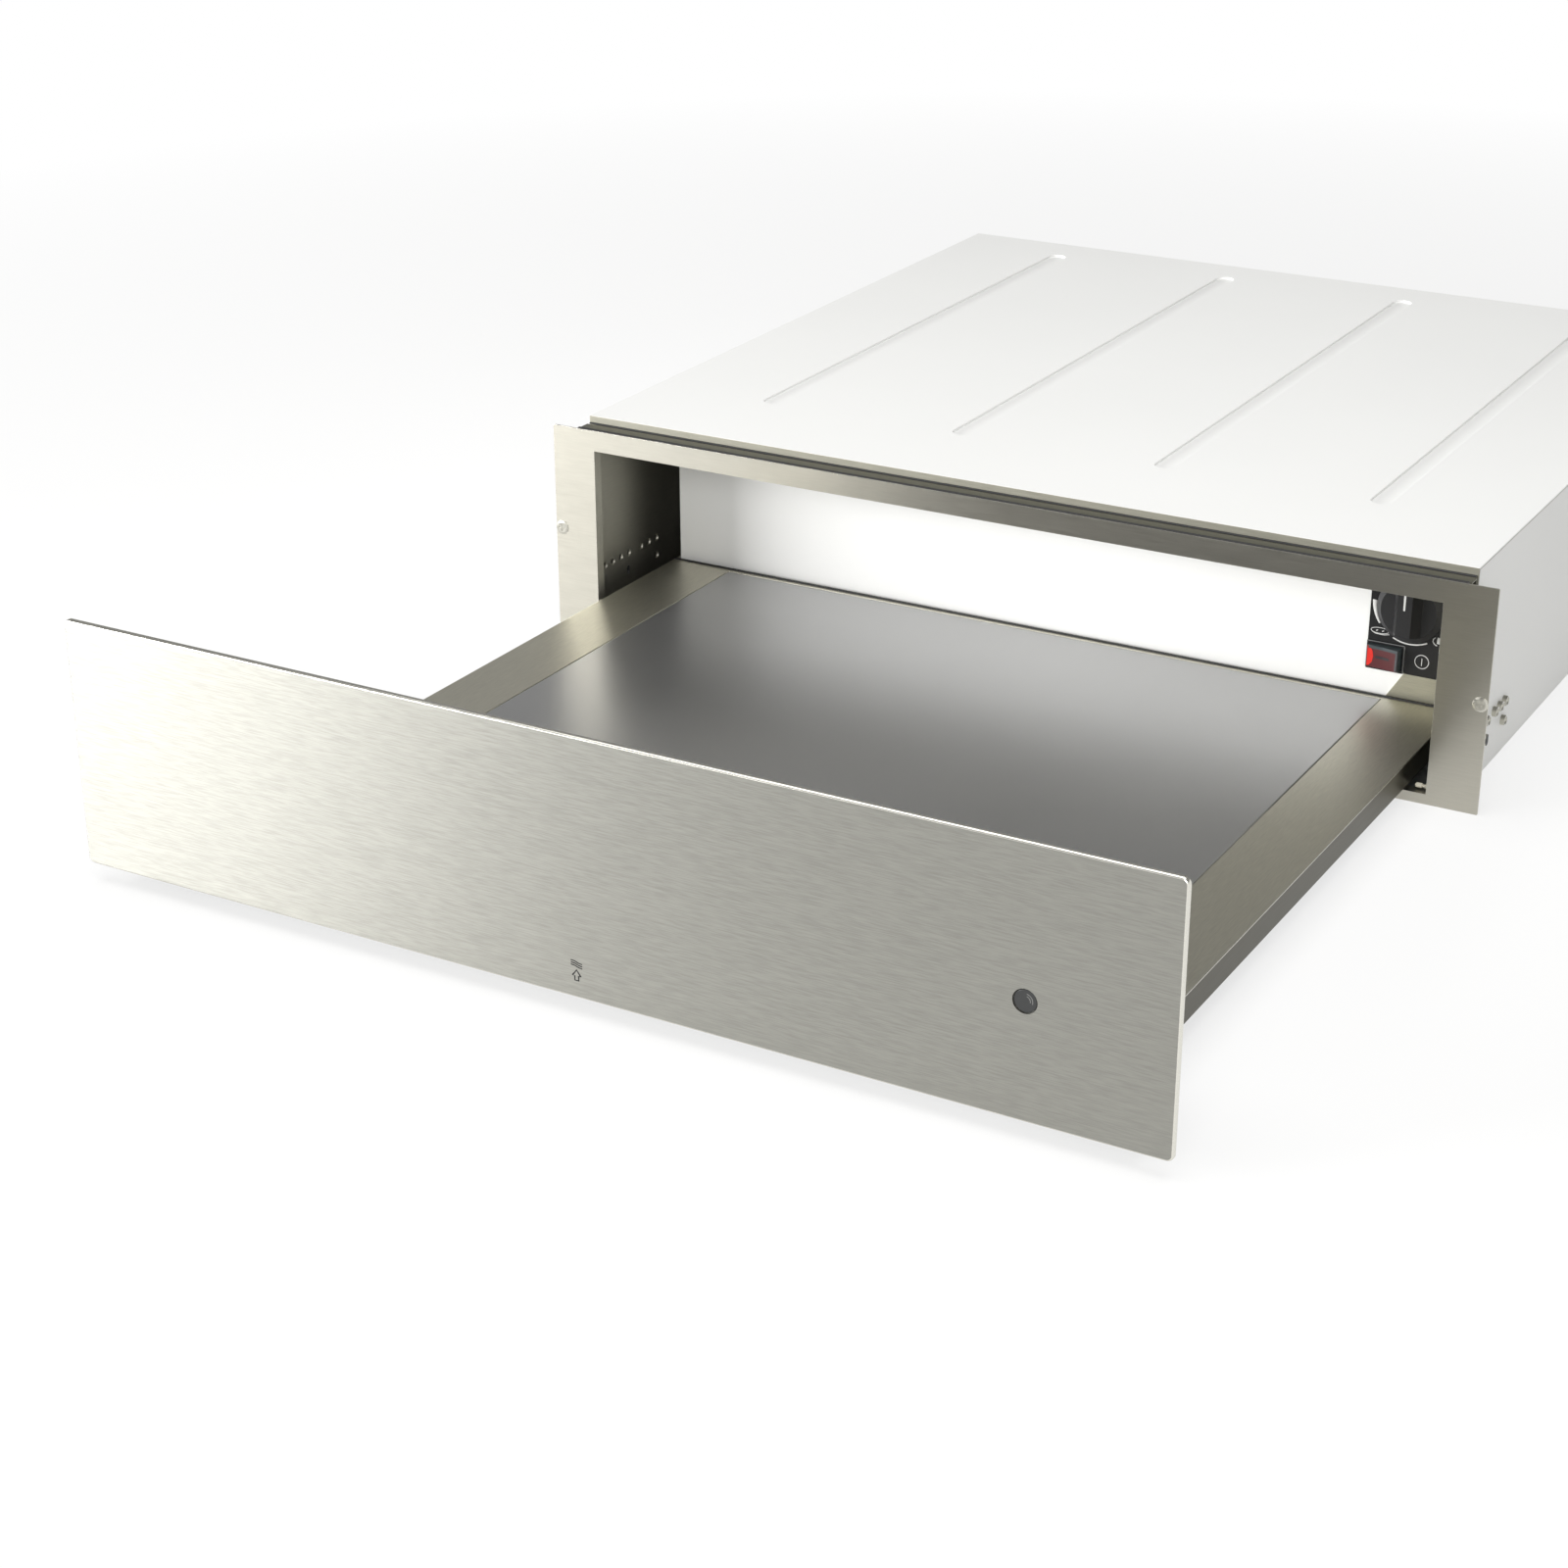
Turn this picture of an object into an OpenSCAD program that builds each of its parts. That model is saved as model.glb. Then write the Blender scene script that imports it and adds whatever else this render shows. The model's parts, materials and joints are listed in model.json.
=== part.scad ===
// Built-in warming drawer, 60 cm wide and 14 cm high, drawn with its drawer pulled out.
// The origin is the middle of the housing's underside. +X is to the right as the user
// faces it, +Y runs into the cabinet, +Z is up, and every size is in millimetres.

/* [Front panel] */
// Width of the steel front panel
panel_w = 595; // [580:1:600]
// Height of the steel front panel
panel_h = 132.4; // [130:0.2:138]
// Thickness of the panel from its face to the back of its liner
panel_t = 20; // [16:1:24]
// Radius of the panel's corners
panel_corner_r = 3.5; // [2:0.5:6]
// Height of the panel's lower edge above the cabinet floor
panel_lift = 9.9; // [8:0.1:12]
// Thickness of the panel's steel skin
panel_sheet = 1.2; // [0.8:0.1:1.5]
// Depth of the rim folded back round the skin
panel_rim = 2.5; // [2:0.1:4]
// Depth of the folds along the skin's head and foot
panel_fold = 7.5; // [5:0.5:12]
// Margin from the skin's sides to the liner pan
liner_side = 17; // [12:1:24]
// Margin from the skin's top edge to the liner pan
liner_top = 13; // [10:1:18]
// Margin from the skin's bottom edge to the liner pan
liner_foot = 4; // [3:0.5:8]
// Width of the flange that the liner is bonded by
liner_flange = 6; // [4:0.5:10]
// Diameter of the indicator lens
lens_d = 11; // [8:0.5:14]
// Distance of the lens from the panel's right edge
lens_inset = 70.5; // [38:0.5:147]
// Height of the lens above the panel's lower edge
lens_lift = 58.4; // [30:0.1:90]

/* [Housing] */
// Distance from the front frame's side edges to the housing's walls
wall_inset = 16; // [13:0.5:20.5]
// Depth of the housing from the front frame's face to its back
housing_d = 545; // [530:1:560]
// Height of the housing
housing_h = 131.9; // [130:0.1:136]
// Thickness of the housing's sheet
housing_sheet = 1; // [0.8:0.1:1.2]
// Width of the folds that the housing's sheets are joined by
seam_w = 10; // [8:1:12]
// Depth of the pressed beads in the top cover
bead_depth = 1.5; // [1:0.1:3]
// Width of the pressed beads in the top cover
bead_w = 14; // [8:1:20]
// Diameter of the vent holes in the side walls
vent_d = 4.6; // [3:0.2:6]
// Pitch of the vent holes
vent_pitch = 9.1; // [8:0.1:11]
// Distance from the front frame's face to the first vent hole
vent_first = 26.8; // [22:0.1:40]
// Height of the upper row of vent holes
vent_row_lift = 32; // [30:0.1:60]
// Height of the single lower vent hole
vent_low_lift = 20.4; // [16:0.1:22]
// Extra space between the two groups of vent holes
vent_group_gap = 5.4; // [3:0.1:12]
// Length of the collar drawn outwards round each front vent hole
vent_collar = 2.6; // [1:0.1:4]

/* [Front frame] */
// Width of the front frame's two stiles
stile_w = 29; // [27:0.5:32]
// Height of the roof above the front frame's top edge
frame_drop = 3.8; // [2:0.1:6]
// Thickness of the front frame's sheet
frame_sheet = 1; // [0.8:0.1:1.5]
// Gap between the tray's skirts and the sides of the frame's opening
tray_gap = 9.2; // [7:0.1:16]
// Width of the front frame's head, above the opening
head_w = 12.7; // [10:0.1:14]
// Height of the opening's lower edge above the cabinet floor
opening_lift = 5.9; // [5.5:0.1:7]
// Depth of the fold round the opening
frame_fold = 7; // [5:0.5:8]
// Distance from the frame's side edges to the fixing holes
fixing_inset = 4.2; // [3.5:0.1:8]
// Height of the fixing holes above the cabinet floor
fixing_lift = 63.1; // [40:0.1:90]
// Diameter of the fixing holes
fixing_d = 4.5; // [4:0.1:5]

/* [Drawer] */
// Distance from the front frame's face to the open drawer's control box
open_inset = 78.2; // [76.5:0.1:178.5]
// Gap between the shut panel and the front frame
closed_gap = 3.5; // [3.2:0.1:5]
// Width of the tray over its side skirts
tray_w = 509.6; // [440:0.2:514]
// Height of the tray's skirts
tray_h = 14.8; // [14.6:0.1:15]
// Height of the tray's top above the cabinet floor
deck_lift = 25.7; // [25.6:0.1:27]
// Thickness of the tray's sheet
tray_sheet = 1; // [0.8:0.1:1.2]
// Width of the steel ledge at each side of the glass
ledge_w = 42.3; // [30:0.1:60]
// Width of the steel margin in front of the glass
front_margin = 14; // [10:1:30]
// Width of the steel margin behind the glass
back_margin = 4.5; // [3:0.1:10]
// Thickness of the glass plate
glass_t = 4; // [3:0.5:4.5]
// Width of the step that the glass rests on
glass_step = 8; // [6:1:14]

/* [Heater] */
// Diameter of the heating tube
heater_d = 6.4; // [5:0.2:6.4]
// Number of straight runs of the heating tube, an even number
heater_runs = 8; // [4:2:10]
// Distance between neighbouring runs
heater_pitch = 46; // [30:1:48]
// Distance from the glass's ends to the ends of the straight runs
heater_end = 60; // [50:1:130]
// Thickness of the insulating pad
pad_t = 1.8; // [1:0.1:2]

/* [Control box] */
// Depth of the control box
box_d = 52; // [45:1:60]
// Clearance between the control box and the housing's roof
box_roof_gap = 15; // [10:0.1:20]
// Thickness of the control box's sheet
box_sheet = 1; // [0.8:0.1:1.2]
// Gap between the tray's back edge and the control plate
box_slot = 2.5; // [1.5:0.1:4]
// Clearance behind the control box when the drawer is shut
rear_clear = 13.5; // [10:0.5:20]
// Width of the black control fascia
fascia_w = 48; // [46:1:50]
// Height of the black control fascia
fascia_h = 64; // [62:1:66]
// Thickness of the black control fascia
fascia_t = 1.5; // [1:0.1:2]
// Distance from the control box's side to the fascia
fascia_side = 4; // [3.5:0.5:28]
// Height of the dial's centre above the tray
dial_lift = 54.6; // [52:0.1:56]
// Diameter of the knob's skirt
knob_d = 38.4; // [34:0.2:40]
// Height of the knob's grip above the fascia
knob_h = 14.9; // [12:0.1:18]
// Radius of the thermostat's shaft
shaft_r = 3; // [2.5:0.1:3.5]

/* [Rocker switch] */
// Width of the switch's bezel
bezel_w = 22.1; // [21:0.1:23]
// Height of the switch's bezel
bezel_h = 16.8; // [16:0.1:18]
// Width of the red rocker
rocker_w = 18.8; // [17:0.1:19]
// Height of the red rocker
rocker_h = 12.9; // [11:0.1:13]
// Angle that the rocker leans to each side
rocker_lean = 7.5; // [5:0.5:8]

/* [Runners] */
// Height of the fixed rail's section
rail_h = 19; // [18:0.5:19]
// Width of the whole runner's section
rail_w = 14; // [13.5:0.1:15]
// Thickness of the rails' sheet
rail_sheet = 1.2; // [1:0.1:1.3]
// Diameter of the balls
ball_d = 1.8; // [1.6:0.1:1.8]
// Number of balls in each row
ball_count = 6; // [3:1:8]
// Length of a ball cage
cage_len = 230; // [180:5:240]
// Distance from the frame's face to the front of the rails
rail_front = 9; // [9:0.5:14]
// Distance from the back of the rails to the back of the housing
rail_rear_gap = 36; // [30:1:50]

/* [Touch latch] */
// Width of the latch body
latch_w = 28; // [20:1:40]
// Length of the latch body
latch_len = 44; // [36:1:44]
// Distance that the latch's plunger is pushed in
latch_stroke = 3; // [2:0.5:4]
// Distance from the control box's front back to the latch's striker
striker_back = 8; // [6:1:12]

/* [Hidden] */
$fn = 48;

// Sizes of what fits round the tray, the frame's height below the roof, and the slide that the
// housing's depth allows
opening_w = tray_w + 2 * tray_gap;
frame_w = opening_w + 2 * stile_w;
housing_w = frame_w - 2 * wall_inset;
fixing_pitch = frame_w - 2 * fixing_inset;
lens_x = panel_w / 2 - lens_inset;
frame_h = housing_h - frame_drop;
opening_h = frame_h - head_w - opening_lift;
travel = housing_d - housing_sheet - rear_clear - box_d - open_inset;

// Driving planes of the housing
front_y = -housing_d / 2;
back_y = housing_d / 2;
side_x = housing_w / 2;
wall_x = side_x - housing_sheet;
roof_z = housing_h - housing_sheet;
frame_back_y = front_y + frame_sheet;
opening_top = opening_lift + opening_h;

// Driving planes of the drawer in its open place
panel_back_y = front_y - closed_gap - travel;
panel_face_y = panel_back_y - panel_t;
panel_mid_z = panel_lift + panel_h / 2;
tray_x = tray_w / 2;
skirt_x = tray_x - tray_sheet;
skirt_z = deck_lift - tray_h;
deck_under_z = deck_lift - tray_sheet;
face_stack = box_slot + box_sheet;
deck_len = housing_d - housing_sheet - rear_clear - box_d - face_stack + closed_gap;
deck_end_y = panel_back_y + deck_len;
box_front_y = deck_end_y + face_stack;
box_back_y = box_front_y + box_d;
box_top_z = roof_z - box_roof_gap;

// Runners: three nested channels with balls between them
support_t = 1.5;
part_gap = 1.5;
fit_gap = 0.3;
ball_clear = 0.1;
race_gap = ball_d + 2 * ball_clear;
rail_z = deck_under_z - fit_gap - 0.8 - rail_h / 2;
rail_x = skirt_x - rail_w;
support_x = rail_x - support_t;
bottom_x = support_x - part_gap;
rail_len = housing_d - rail_front - rail_rear_gap;
rail_lip_gap = 3.6;
web_gap = 1.6;
mid_h = rail_h - 2 * (rail_sheet + race_gap);
inner_h = mid_h - 2 * (rail_sheet + race_gap);
mid_x = rail_x + rail_sheet + web_gap;
cage_t = 0.5;
fixed_rail_y = front_y + rail_front;
mid_rail_y = fixed_rail_y - travel / 2;
drawer_rail_y = fixed_rail_y - travel;
cage_rest_y = fixed_rail_y + (rail_len - cage_len) / 2;
outer_cage_y = cage_rest_y - travel / 4;
inner_cage_y = cage_rest_y - travel * 3 / 4;

// Glass, its seat and what lies below it
glass_x = tray_x - ledge_w;
glass_y0 = panel_back_y + front_margin;
glass_y1 = deck_end_y - back_margin;
glass_seat_z = deck_lift - glass_t;
glass_r = 4;
bottom_top_z = skirt_z + tray_sheet;
pad_top_z = bottom_top_z + pad_t;
heater_z = pad_top_z + heater_d / 2;
heater_mid_y = (glass_y0 + glass_y1) / 2;
heater_run_len = glass_y1 - glass_y0 - 2 * heater_end;

// Control box and what its front carries
box_side_gap = 1.3;
box_x = skirt_x - box_side_gap;
plate_y = box_front_y - box_sheet;
fascia_y = plate_y - fascia_t;
fascia_x0 = box_x - fascia_side - fascia_w;
dial_x = fascia_x0 + fascia_w / 2;
dial_z = deck_lift + dial_lift;
fascia_head = 24.6;
fascia_z1 = dial_z + fascia_head;
fascia_z0 = fascia_z1 - fascia_h;
shaft_clear = 0.05;
knob_gap = 0.4;
shaft_grip = 9;
knob_front_y = fascia_y - knob_h;
knob_bevel = 3.2;
knob_skirt_t = 3.1;
bezel_proud = 0.8;
bezel_wall = 1.9;
body_wall = 0.6;
switch_x = fascia_x0 + bezel_w / 2;
switch_z = fascia_z0 + bezel_h / 2;
rocker_side_gap = 0.35;
cavity_w = rocker_w + 2 * rocker_side_gap;
cavity_h = rocker_h + 2 * fit_gap;
switch_body_w = cavity_w + 2 * body_wall;
switch_body_h = cavity_h + 2 * (body_wall + 0.1);
pivot_y = fascia_y + 0.8;
pivot_r = 1;
cavity_depth = 6.4;

// Touch latch at the back of the housing floor
striker_t = 3;
striker_y = box_front_y + striker_back;
latch_tip_y = striker_y + striker_t + travel + fit_gap;
latch_tip_t = 3;
latch_y = latch_tip_y + latch_tip_t + latch_stroke + 1;
latch_h = skirt_z - housing_sheet - 1;
latch_z = housing_sheet + latch_h / 2;
plunger_r = 2;

// Steel colours of the plain model
brushed = "#b4b2aa";
galvanised = "#c3c5c7";
zinc = "#a8abae";
black = "#202122";

// A block between two corners.
module block(x0, x1, y0, y1, z0, z1)
    translate([x0, y0, z0]) cube([x1 - x0, y1 - y0, z1 - z0]);

// A block centred on the middle plane of the drawer.
module span(half, y0, y1, z0, z1)
    block(-half, half, y0, y1, z0, z1);

// A front-facing outline, drawn as X and Z, made t thick from y backwards.
module upright(y, t)
    translate([0, y + t, 0]) rotate([90, 0, 0]) linear_extrude(t) children();

// A side-facing outline, drawn as Y and Z, made t thick from x to the right.
module sideways(x, t)
    translate([x, 0, 0]) rotate([90, 0, 90]) linear_extrude(t) children();

// A round bar along Y.
module rod_y(r, x, z, y0, y1)
    translate([x, y0, z]) rotate([-90, 0, 0]) cylinder(r = r, h = y1 - y0);

// A round bar along X.
module rod_x(r, y, z, x0, x1)
    translate([x0, y, z]) rotate([0, 90, 0]) cylinder(r = r, h = x1 - x0);

// A rectangle with round corners, centred.
module round_rect(w, h, r) {
    square([w - 2 * r, h], center = true);
    square([w, h - 2 * r], center = true);
    for (sx = [-1, 1], sy = [-1, 1])
        translate([sx * (w / 2 - r), sy * (h / 2 - r)]) circle(r);
}

// A slot with round ends, its length along the first axis.
module slot(len, w) {
    square([len - w, w], center = true);
    for (s = [-1, 1])
        translate([s * (len - w) / 2, 0]) circle(w / 2);
}

// The same piece on the left (-1) or the right (+1).
module handed(side) {
    if (side > 0) children();
    else mirror([1, 0, 0]) children();
}

// Front frame: a flat steel plate with a folded edge round the opening.
module front_frame() {
    opening_mid = opening_lift + opening_h / 2;
    color(brushed) difference() {
        union() {
            upright(front_y, frame_sheet)
                translate([0, frame_h / 2]) round_rect(frame_w, frame_h, 0.8);
            upright(front_y, frame_fold) difference() {
                translate([0, opening_mid])
                    square([opening_w + 2 * frame_sheet, opening_h + 2 * frame_sheet], center = true);
                translate([0, opening_mid]) square([opening_w, opening_h], center = true);
            }
        }
        upright(front_y - 1, frame_fold + 2)
            translate([0, opening_mid]) square([opening_w, opening_h], center = true);
        for (s = [-1, 1])
            rod_y(fixing_d / 2, s * fixing_pitch / 2, fixing_lift, front_y - 1, frame_back_y + 1);
    }
}

// Top channel: the folded rail that ties the frame's head to the roof.
channel_gap = 3.2;
channel_w = 8.8;
channel_drop = 4.4;
channel_foot_gap = 1.5;
roof_gap = 2.7;
channel_y = frame_back_y + channel_gap;
channel_z = housing_h - channel_drop;
channel_foot_z = opening_top + frame_sheet + channel_foot_gap;
roof_front_y = channel_y + channel_w + roof_gap;
module top_channel() {
    t = housing_sheet;
    foot_z = channel_foot_z;
    y1 = channel_y + channel_w;
    color(brushed) union() {
        span(side_x, channel_y, y1, channel_z - t, channel_z);
        span(side_x, channel_y, channel_y + t, foot_z, channel_z);
        span(side_x, y1 - t, y1, foot_z, channel_z);
        span(wall_x, frame_back_y, channel_y + t, foot_z, foot_z + t);
        span(side_x, y1 - t, roof_front_y, foot_z, foot_z + t);
    }
}

// Floor of the housing, with a front upstand and two rows of vent slots.
module housing_floor() {
    t = housing_sheet;
    vent_len = 32;
    vent_w = 4;
    vent_side = 147;
    vent_end = 122.5;
    vent_x = side_x - vent_side;
    vent_y = housing_d / 2 - vent_end;
    color(galvanised) difference() {
        union() {
            span(wall_x, frame_back_y, back_y - t, 0, t);
            span(wall_x, frame_back_y, frame_back_y + t, 0, opening_lift - frame_sheet);
        }
        for (sx = [-1, 1], i = [0:8], sy = [-1, 1])
            translate([sx * vent_x, sy * vent_y + (i - 4) * 12, -1])
                linear_extrude(t + 2) slot(vent_len, vent_w);
    }
}

// Front vent holes of a side wall, as Y and Z places: a row of seven in two groups, and one below.
vent_row = [
    for (i = [0:6])
        [front_y + vent_first + i * vent_pitch + (i > 3 ? vent_group_gap : 0), vent_row_lift]
];
vent_holes = concat(vent_row, [[vent_row[6][0], vent_low_lift]]);
vent_collar_t = 0.6;
dimple_len = 5.4;
dimple_w = 3;
dimple_floor_t = 0.8;

// A side wall: a sheet with folded edges, drawn vent holes, a pressed dimple and rear vent holes.
module housing_side(side) {
    t = housing_sheet;
    wall_y0 = frame_back_y;
    collar_end = side_x + vent_collar;
    dimple_at = [vent_row[3][0] - 1.2, vent_low_lift + 0.8];
    color(galvanised) handed(side) difference() {
        union() {
            block(wall_x, side_x, wall_y0, back_y, 0, roof_z);
            block(wall_x - seam_w, wall_x, roof_front_y + 1, back_y - t, roof_z - t, roof_z);
            block(wall_x - seam_w, wall_x, wall_y0, wall_y0 + t, 12, opening_top - 4);
            for (p = vent_holes)
                rod_x(vent_d / 2 + vent_collar_t, p[0], p[1], wall_x, collar_end);
            sideways(wall_x, t + vent_collar)
                translate(dimple_at) rotate(90)
                    slot(dimple_len + 2 * vent_collar_t, dimple_w + 2 * vent_collar_t);
        }
        block(wall_x - 1, side_x + 1, front_y, roof_front_y + t, channel_foot_z, housing_h);
        for (p = vent_holes)
            rod_x(vent_d / 2, p[0], p[1], wall_x - 1, collar_end + 1);
        sideways(wall_x - 1, t + vent_collar + 1 - dimple_floor_t)
            translate(dimple_at) rotate(90) slot(dimple_len, dimple_w);
        for (i = [0:7], j = [0:3])
            rod_x(vent_d / 2, back_y - 60 - i * vent_pitch, 60 + j * vent_pitch, wall_x - 1, side_x + 1);
    }
}

// Back of the housing, with vent slots and the hole for the mains gland.
gland_inset = 87;
gland_x = gland_inset - side_x;
gland_z = 62;
gland_thread_r = 8;
module housing_back() {
    t = housing_sheet;
    vent_side = 59;
    vent_step = 18;
    color(galvanised) difference() {
        union() {
            span(wall_x, back_y - t, back_y, 0, roof_z);
            span(wall_x - seam_w - 1, back_y - seam_w, back_y - t, roof_z - t, roof_z);
        }
        rod_y(gland_thread_r + 0.1, gland_x, gland_z, back_y - t - 1, back_y + 1);
        for (i = [0:11], j = [0:1])
            upright(back_y - t - 1, t + 2)
                translate([side_x - vent_side - i * vent_step, 50 + j * 34]) rotate(90) slot(24, 4);
    }
}

// Roof of the housing, with a folded front edge and pressed beads.
module housing_top() {
    t = housing_sheet;
    bead_len = housing_d - 120;
    bead_pitch = 130;
    color(galvanised) difference() {
        union() {
            span(side_x, roof_front_y, back_y, roof_z, housing_h);
            span(side_x, roof_front_y, roof_front_y + t, opening_top + 4, housing_h);
            for (i = [-1.5:1:1.5])
                translate([i * bead_pitch, 30, roof_z - bead_depth])
                    linear_extrude(bead_depth) rotate(90) slot(bead_len, bead_w);
        }
        for (i = [-1.5:1:1.5])
            translate([i * bead_pitch, 30, housing_h - bead_depth])
                linear_extrude(bead_depth + 1) rotate(90) slot(bead_len - 2 * t, bead_w - 2 * t);
    }
}

// Pan-head screws that hold the housing's back and roof.
module pan_screw_y(x, z, y, head_r, head_t) {
    translate([x, y, z]) rotate([-90, 0, 0]) difference() {
        cylinder(r = head_r, h = head_t);
        for (a = [0, 90])
            rotate(a) translate([-head_r * 0.55, -0.4, head_t - 0.8]) cube([head_r * 1.1, 0.8, 1]);
    }
}

screw_r = 3.5;
screw_t = 2;
screw_side = 17;
screw_low = 14;
screw_high = 12;
module housing_screws() {
    color(zinc)
        for (i = [-2:2], z = [screw_low, roof_z - screw_high])
            pan_screw_y(i * (side_x - screw_side) / 2, z, back_y, screw_r, screw_t);
}

// Mains cable gland: a flanged sleeve with a hexagonal nut inside the wall.
gland_bore_r = 4;
module mains_gland() {
    flange_t = 3;
    inner_len = 6;
    outer_len = 16;
    color(black) difference() {
        union() {
            rod_y(gland_thread_r, gland_x, gland_z, back_y - housing_sheet - inner_len, back_y + 1);
            rod_y(12, gland_x, gland_z, back_y, back_y + flange_t);
            translate([gland_x, back_y + flange_t, gland_z]) rotate([-90, 0, 0])
                cylinder(r1 = 10, r2 = 7.5, h = outer_len - flange_t);
            translate([gland_x, back_y - housing_sheet - 4, gland_z]) rotate([-90, 0, 0])
                cylinder(r = 13, h = 4, $fn = 6);
        }
        rod_y(gland_bore_r, gland_x, gland_z, back_y - 20, back_y + outer_len + 1);
    }
}

// Nylon guide pins on the opening's side folds: a collar, a neck and a round head each.
guide_r = 1.4;
guide_neck_r = 0.8;
guide_clear = 1.6;
guide_collar_w = 1.8;
guide_neck_w = 1.8;
guide_lift = 2.6;
guide_fold_edge = 1;
module side_guides() {
    y = front_y + frame_fold - guide_fold_edge - guide_r;
    z = opening_lift + guide_lift;
    head_x = tray_x + guide_clear + guide_r;
    neck_x = opening_w / 2 - guide_collar_w - guide_neck_w;
    color("#ece6cf")
        for (s = [-1, 1])
            handed(s) union() {
                rod_x(guide_r, y, z, opening_w / 2 - guide_collar_w, opening_w / 2);
                rod_x(guide_neck_r, y, z, neck_x - 0.5, opening_w / 2);
                rod_x(guide_r, y, z, head_x, neck_x);
                translate([head_x, y, z]) sphere(guide_r);
            }
}

// A channel section open to the right, drawn as X and Z.
module channel_outline(x0, x1, h, t) {
    difference() {
        translate([x0, rail_z - h / 2]) square([x1 - x0, h]);
        translate([x0 + t, rail_z - h / 2 + t]) square([x1 - x0, h - 2 * t]);
    }
}

// Support angle between the floor and a fixed rail.
module rail_support(side) {
    foot_w = 14;
    top = rail_z + rail_h / 2 - 2;
    color(galvanised) handed(side) difference() {
        union() {
            block(support_x, rail_x, fixed_rail_y, fixed_rail_y + rail_len, housing_sheet, top);
            block(rail_x - foot_w, rail_x, fixed_rail_y, fixed_rail_y + rail_len,
                  housing_sheet, housing_sheet + support_t);
        }
        for (i = [0:4])
            rod_x(2.5, fixed_rail_y + 50 + i * (rail_len - 100) / 4, rail_z, support_x - 1, rail_x + 1);
    }
}

// Fixed rail, the widest of the three channels, with a turned-up end stop.
module fixed_rail(side) {
    x1 = skirt_x - rail_lip_gap;
    color(zinc) handed(side) union() {
        upright(fixed_rail_y, rail_len) channel_outline(rail_x, x1, rail_h, rail_sheet);
        block(rail_x, x1, fixed_rail_y + rail_len - rail_sheet, fixed_rail_y + rail_len,
              rail_z - rail_h / 2, rail_z + rail_h / 2);
    }
}

// Middle rail, nested in the fixed one.
module mid_rail(side) {
    color(zinc) handed(side)
        upright(mid_rail_y, rail_len - 2 * rail_sheet)
            channel_outline(mid_x, skirt_x - rail_lip_gap + 0.6, mid_h, rail_sheet);
}

// Drawer rail, fixed to the tray's skirt and open towards the middle.
module drawer_rail(side) {
    x0 = mid_x + rail_sheet + web_gap;
    color(zinc) handed(side)
        upright(drawer_rail_y, rail_len - 2 * rail_sheet) difference() {
            translate([x0, rail_z - inner_h / 2]) square([skirt_x - x0, inner_h]);
            translate([x0 - 1, rail_z - inner_h / 2 + rail_sheet])
                square([skirt_x - x0 + 1 - rail_sheet, inner_h - 2 * rail_sheet]);
        }
}

// A ball cage: a folded strip with its two rows of balls, h high between the rows' middles.
module ball_cage(side, x0, y0, h) {
    strip_w = 5;
    ball_x = x0 + 2.8;
    pitch = (cage_len - 20) / (ball_count - 1);
    color("#c8b568") handed(side) difference() {
        union() {
            block(x0, x0 + cage_t, y0, y0 + cage_len,
                  rail_z - (h + cage_t) / 2, rail_z + (h + cage_t) / 2);
            for (s = [-1, 1])
                block(x0, x0 + strip_w, y0, y0 + cage_len,
                      rail_z + s * h / 2 - cage_t / 2, rail_z + s * h / 2 + cage_t / 2);
            for (s = [-1, 1], i = [0:ball_count - 1])
                translate([ball_x, y0 + 10 + i * pitch, rail_z + s * h / 2]) sphere(d = ball_d);
        }
        block(x0 - 1, x0 + cage_t + 1, y0 + 20, y0 + cage_len - 20, rail_z - h / 5, rail_z + h / 5);
    }
}

module outer_cage(side)
    ball_cage(side, rail_x + rail_sheet + (web_gap - cage_t) / 2, outer_cage_y,
              rail_h - 2 * rail_sheet - race_gap);

module inner_cage(side)
    ball_cage(side, mid_x + rail_sheet + (web_gap - cage_t) / 2, inner_cage_y,
              mid_h - 2 * rail_sheet - race_gap);

// Body of the touch latch, screwed to the floor.
module latch_body() {
    ear_w = 8;
    color(black) difference() {
        union() {
            span(latch_w / 2, latch_y, latch_y + latch_len, housing_sheet, housing_sheet + latch_h);
            span(latch_w / 2 + ear_w, latch_y + 10, latch_y + 22, housing_sheet, housing_sheet + 2.5);
        }
        rod_y(plunger_r + shaft_clear, 0, latch_z, latch_y - 1, latch_y + latch_len - 6);
        for (s = [-1, 1])
            translate([s * (latch_w / 2 + 4), latch_y + 16, 0]) cylinder(r = 1.8, h = 6);
    }
}

// Sprung plunger of the touch latch, with its broad tip.
module latch_plunger() {
    tip_w = 10;
    tip_h = 5.6;
    stem_end = latch_y + latch_len - 6 - latch_stroke - 1;
    color("#d8d8d2") union() {
        block(-tip_w / 2, tip_w / 2, latch_tip_y, latch_tip_y + latch_tip_t,
              latch_z - tip_h / 2, latch_z + tip_h / 2);
        rod_y(plunger_r, 0, latch_z, latch_tip_y + 1, stem_end);
    }
}

// Steel skin of the front panel, a shallow pan with round corners.
module front_panel() {
    color(brushed) difference() {
        union() {
            upright(panel_face_y, panel_rim)
                translate([0, panel_mid_z]) round_rect(panel_w, panel_h, panel_corner_r);
            span(panel_w / 2 - panel_corner_r, panel_face_y, panel_face_y + panel_fold,
                 panel_lift, panel_lift + panel_h);
        }
        upright(panel_face_y + panel_sheet, panel_fold)
            translate([0, panel_mid_z])
                round_rect(panel_w - 2 * panel_sheet, panel_h - 2 * panel_sheet,
                           panel_corner_r - panel_sheet);
        rod_y(lens_d / 2, lens_x, panel_lift + lens_lift, panel_face_y - 1, panel_face_y + panel_sheet + 1);
    }
}

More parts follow.
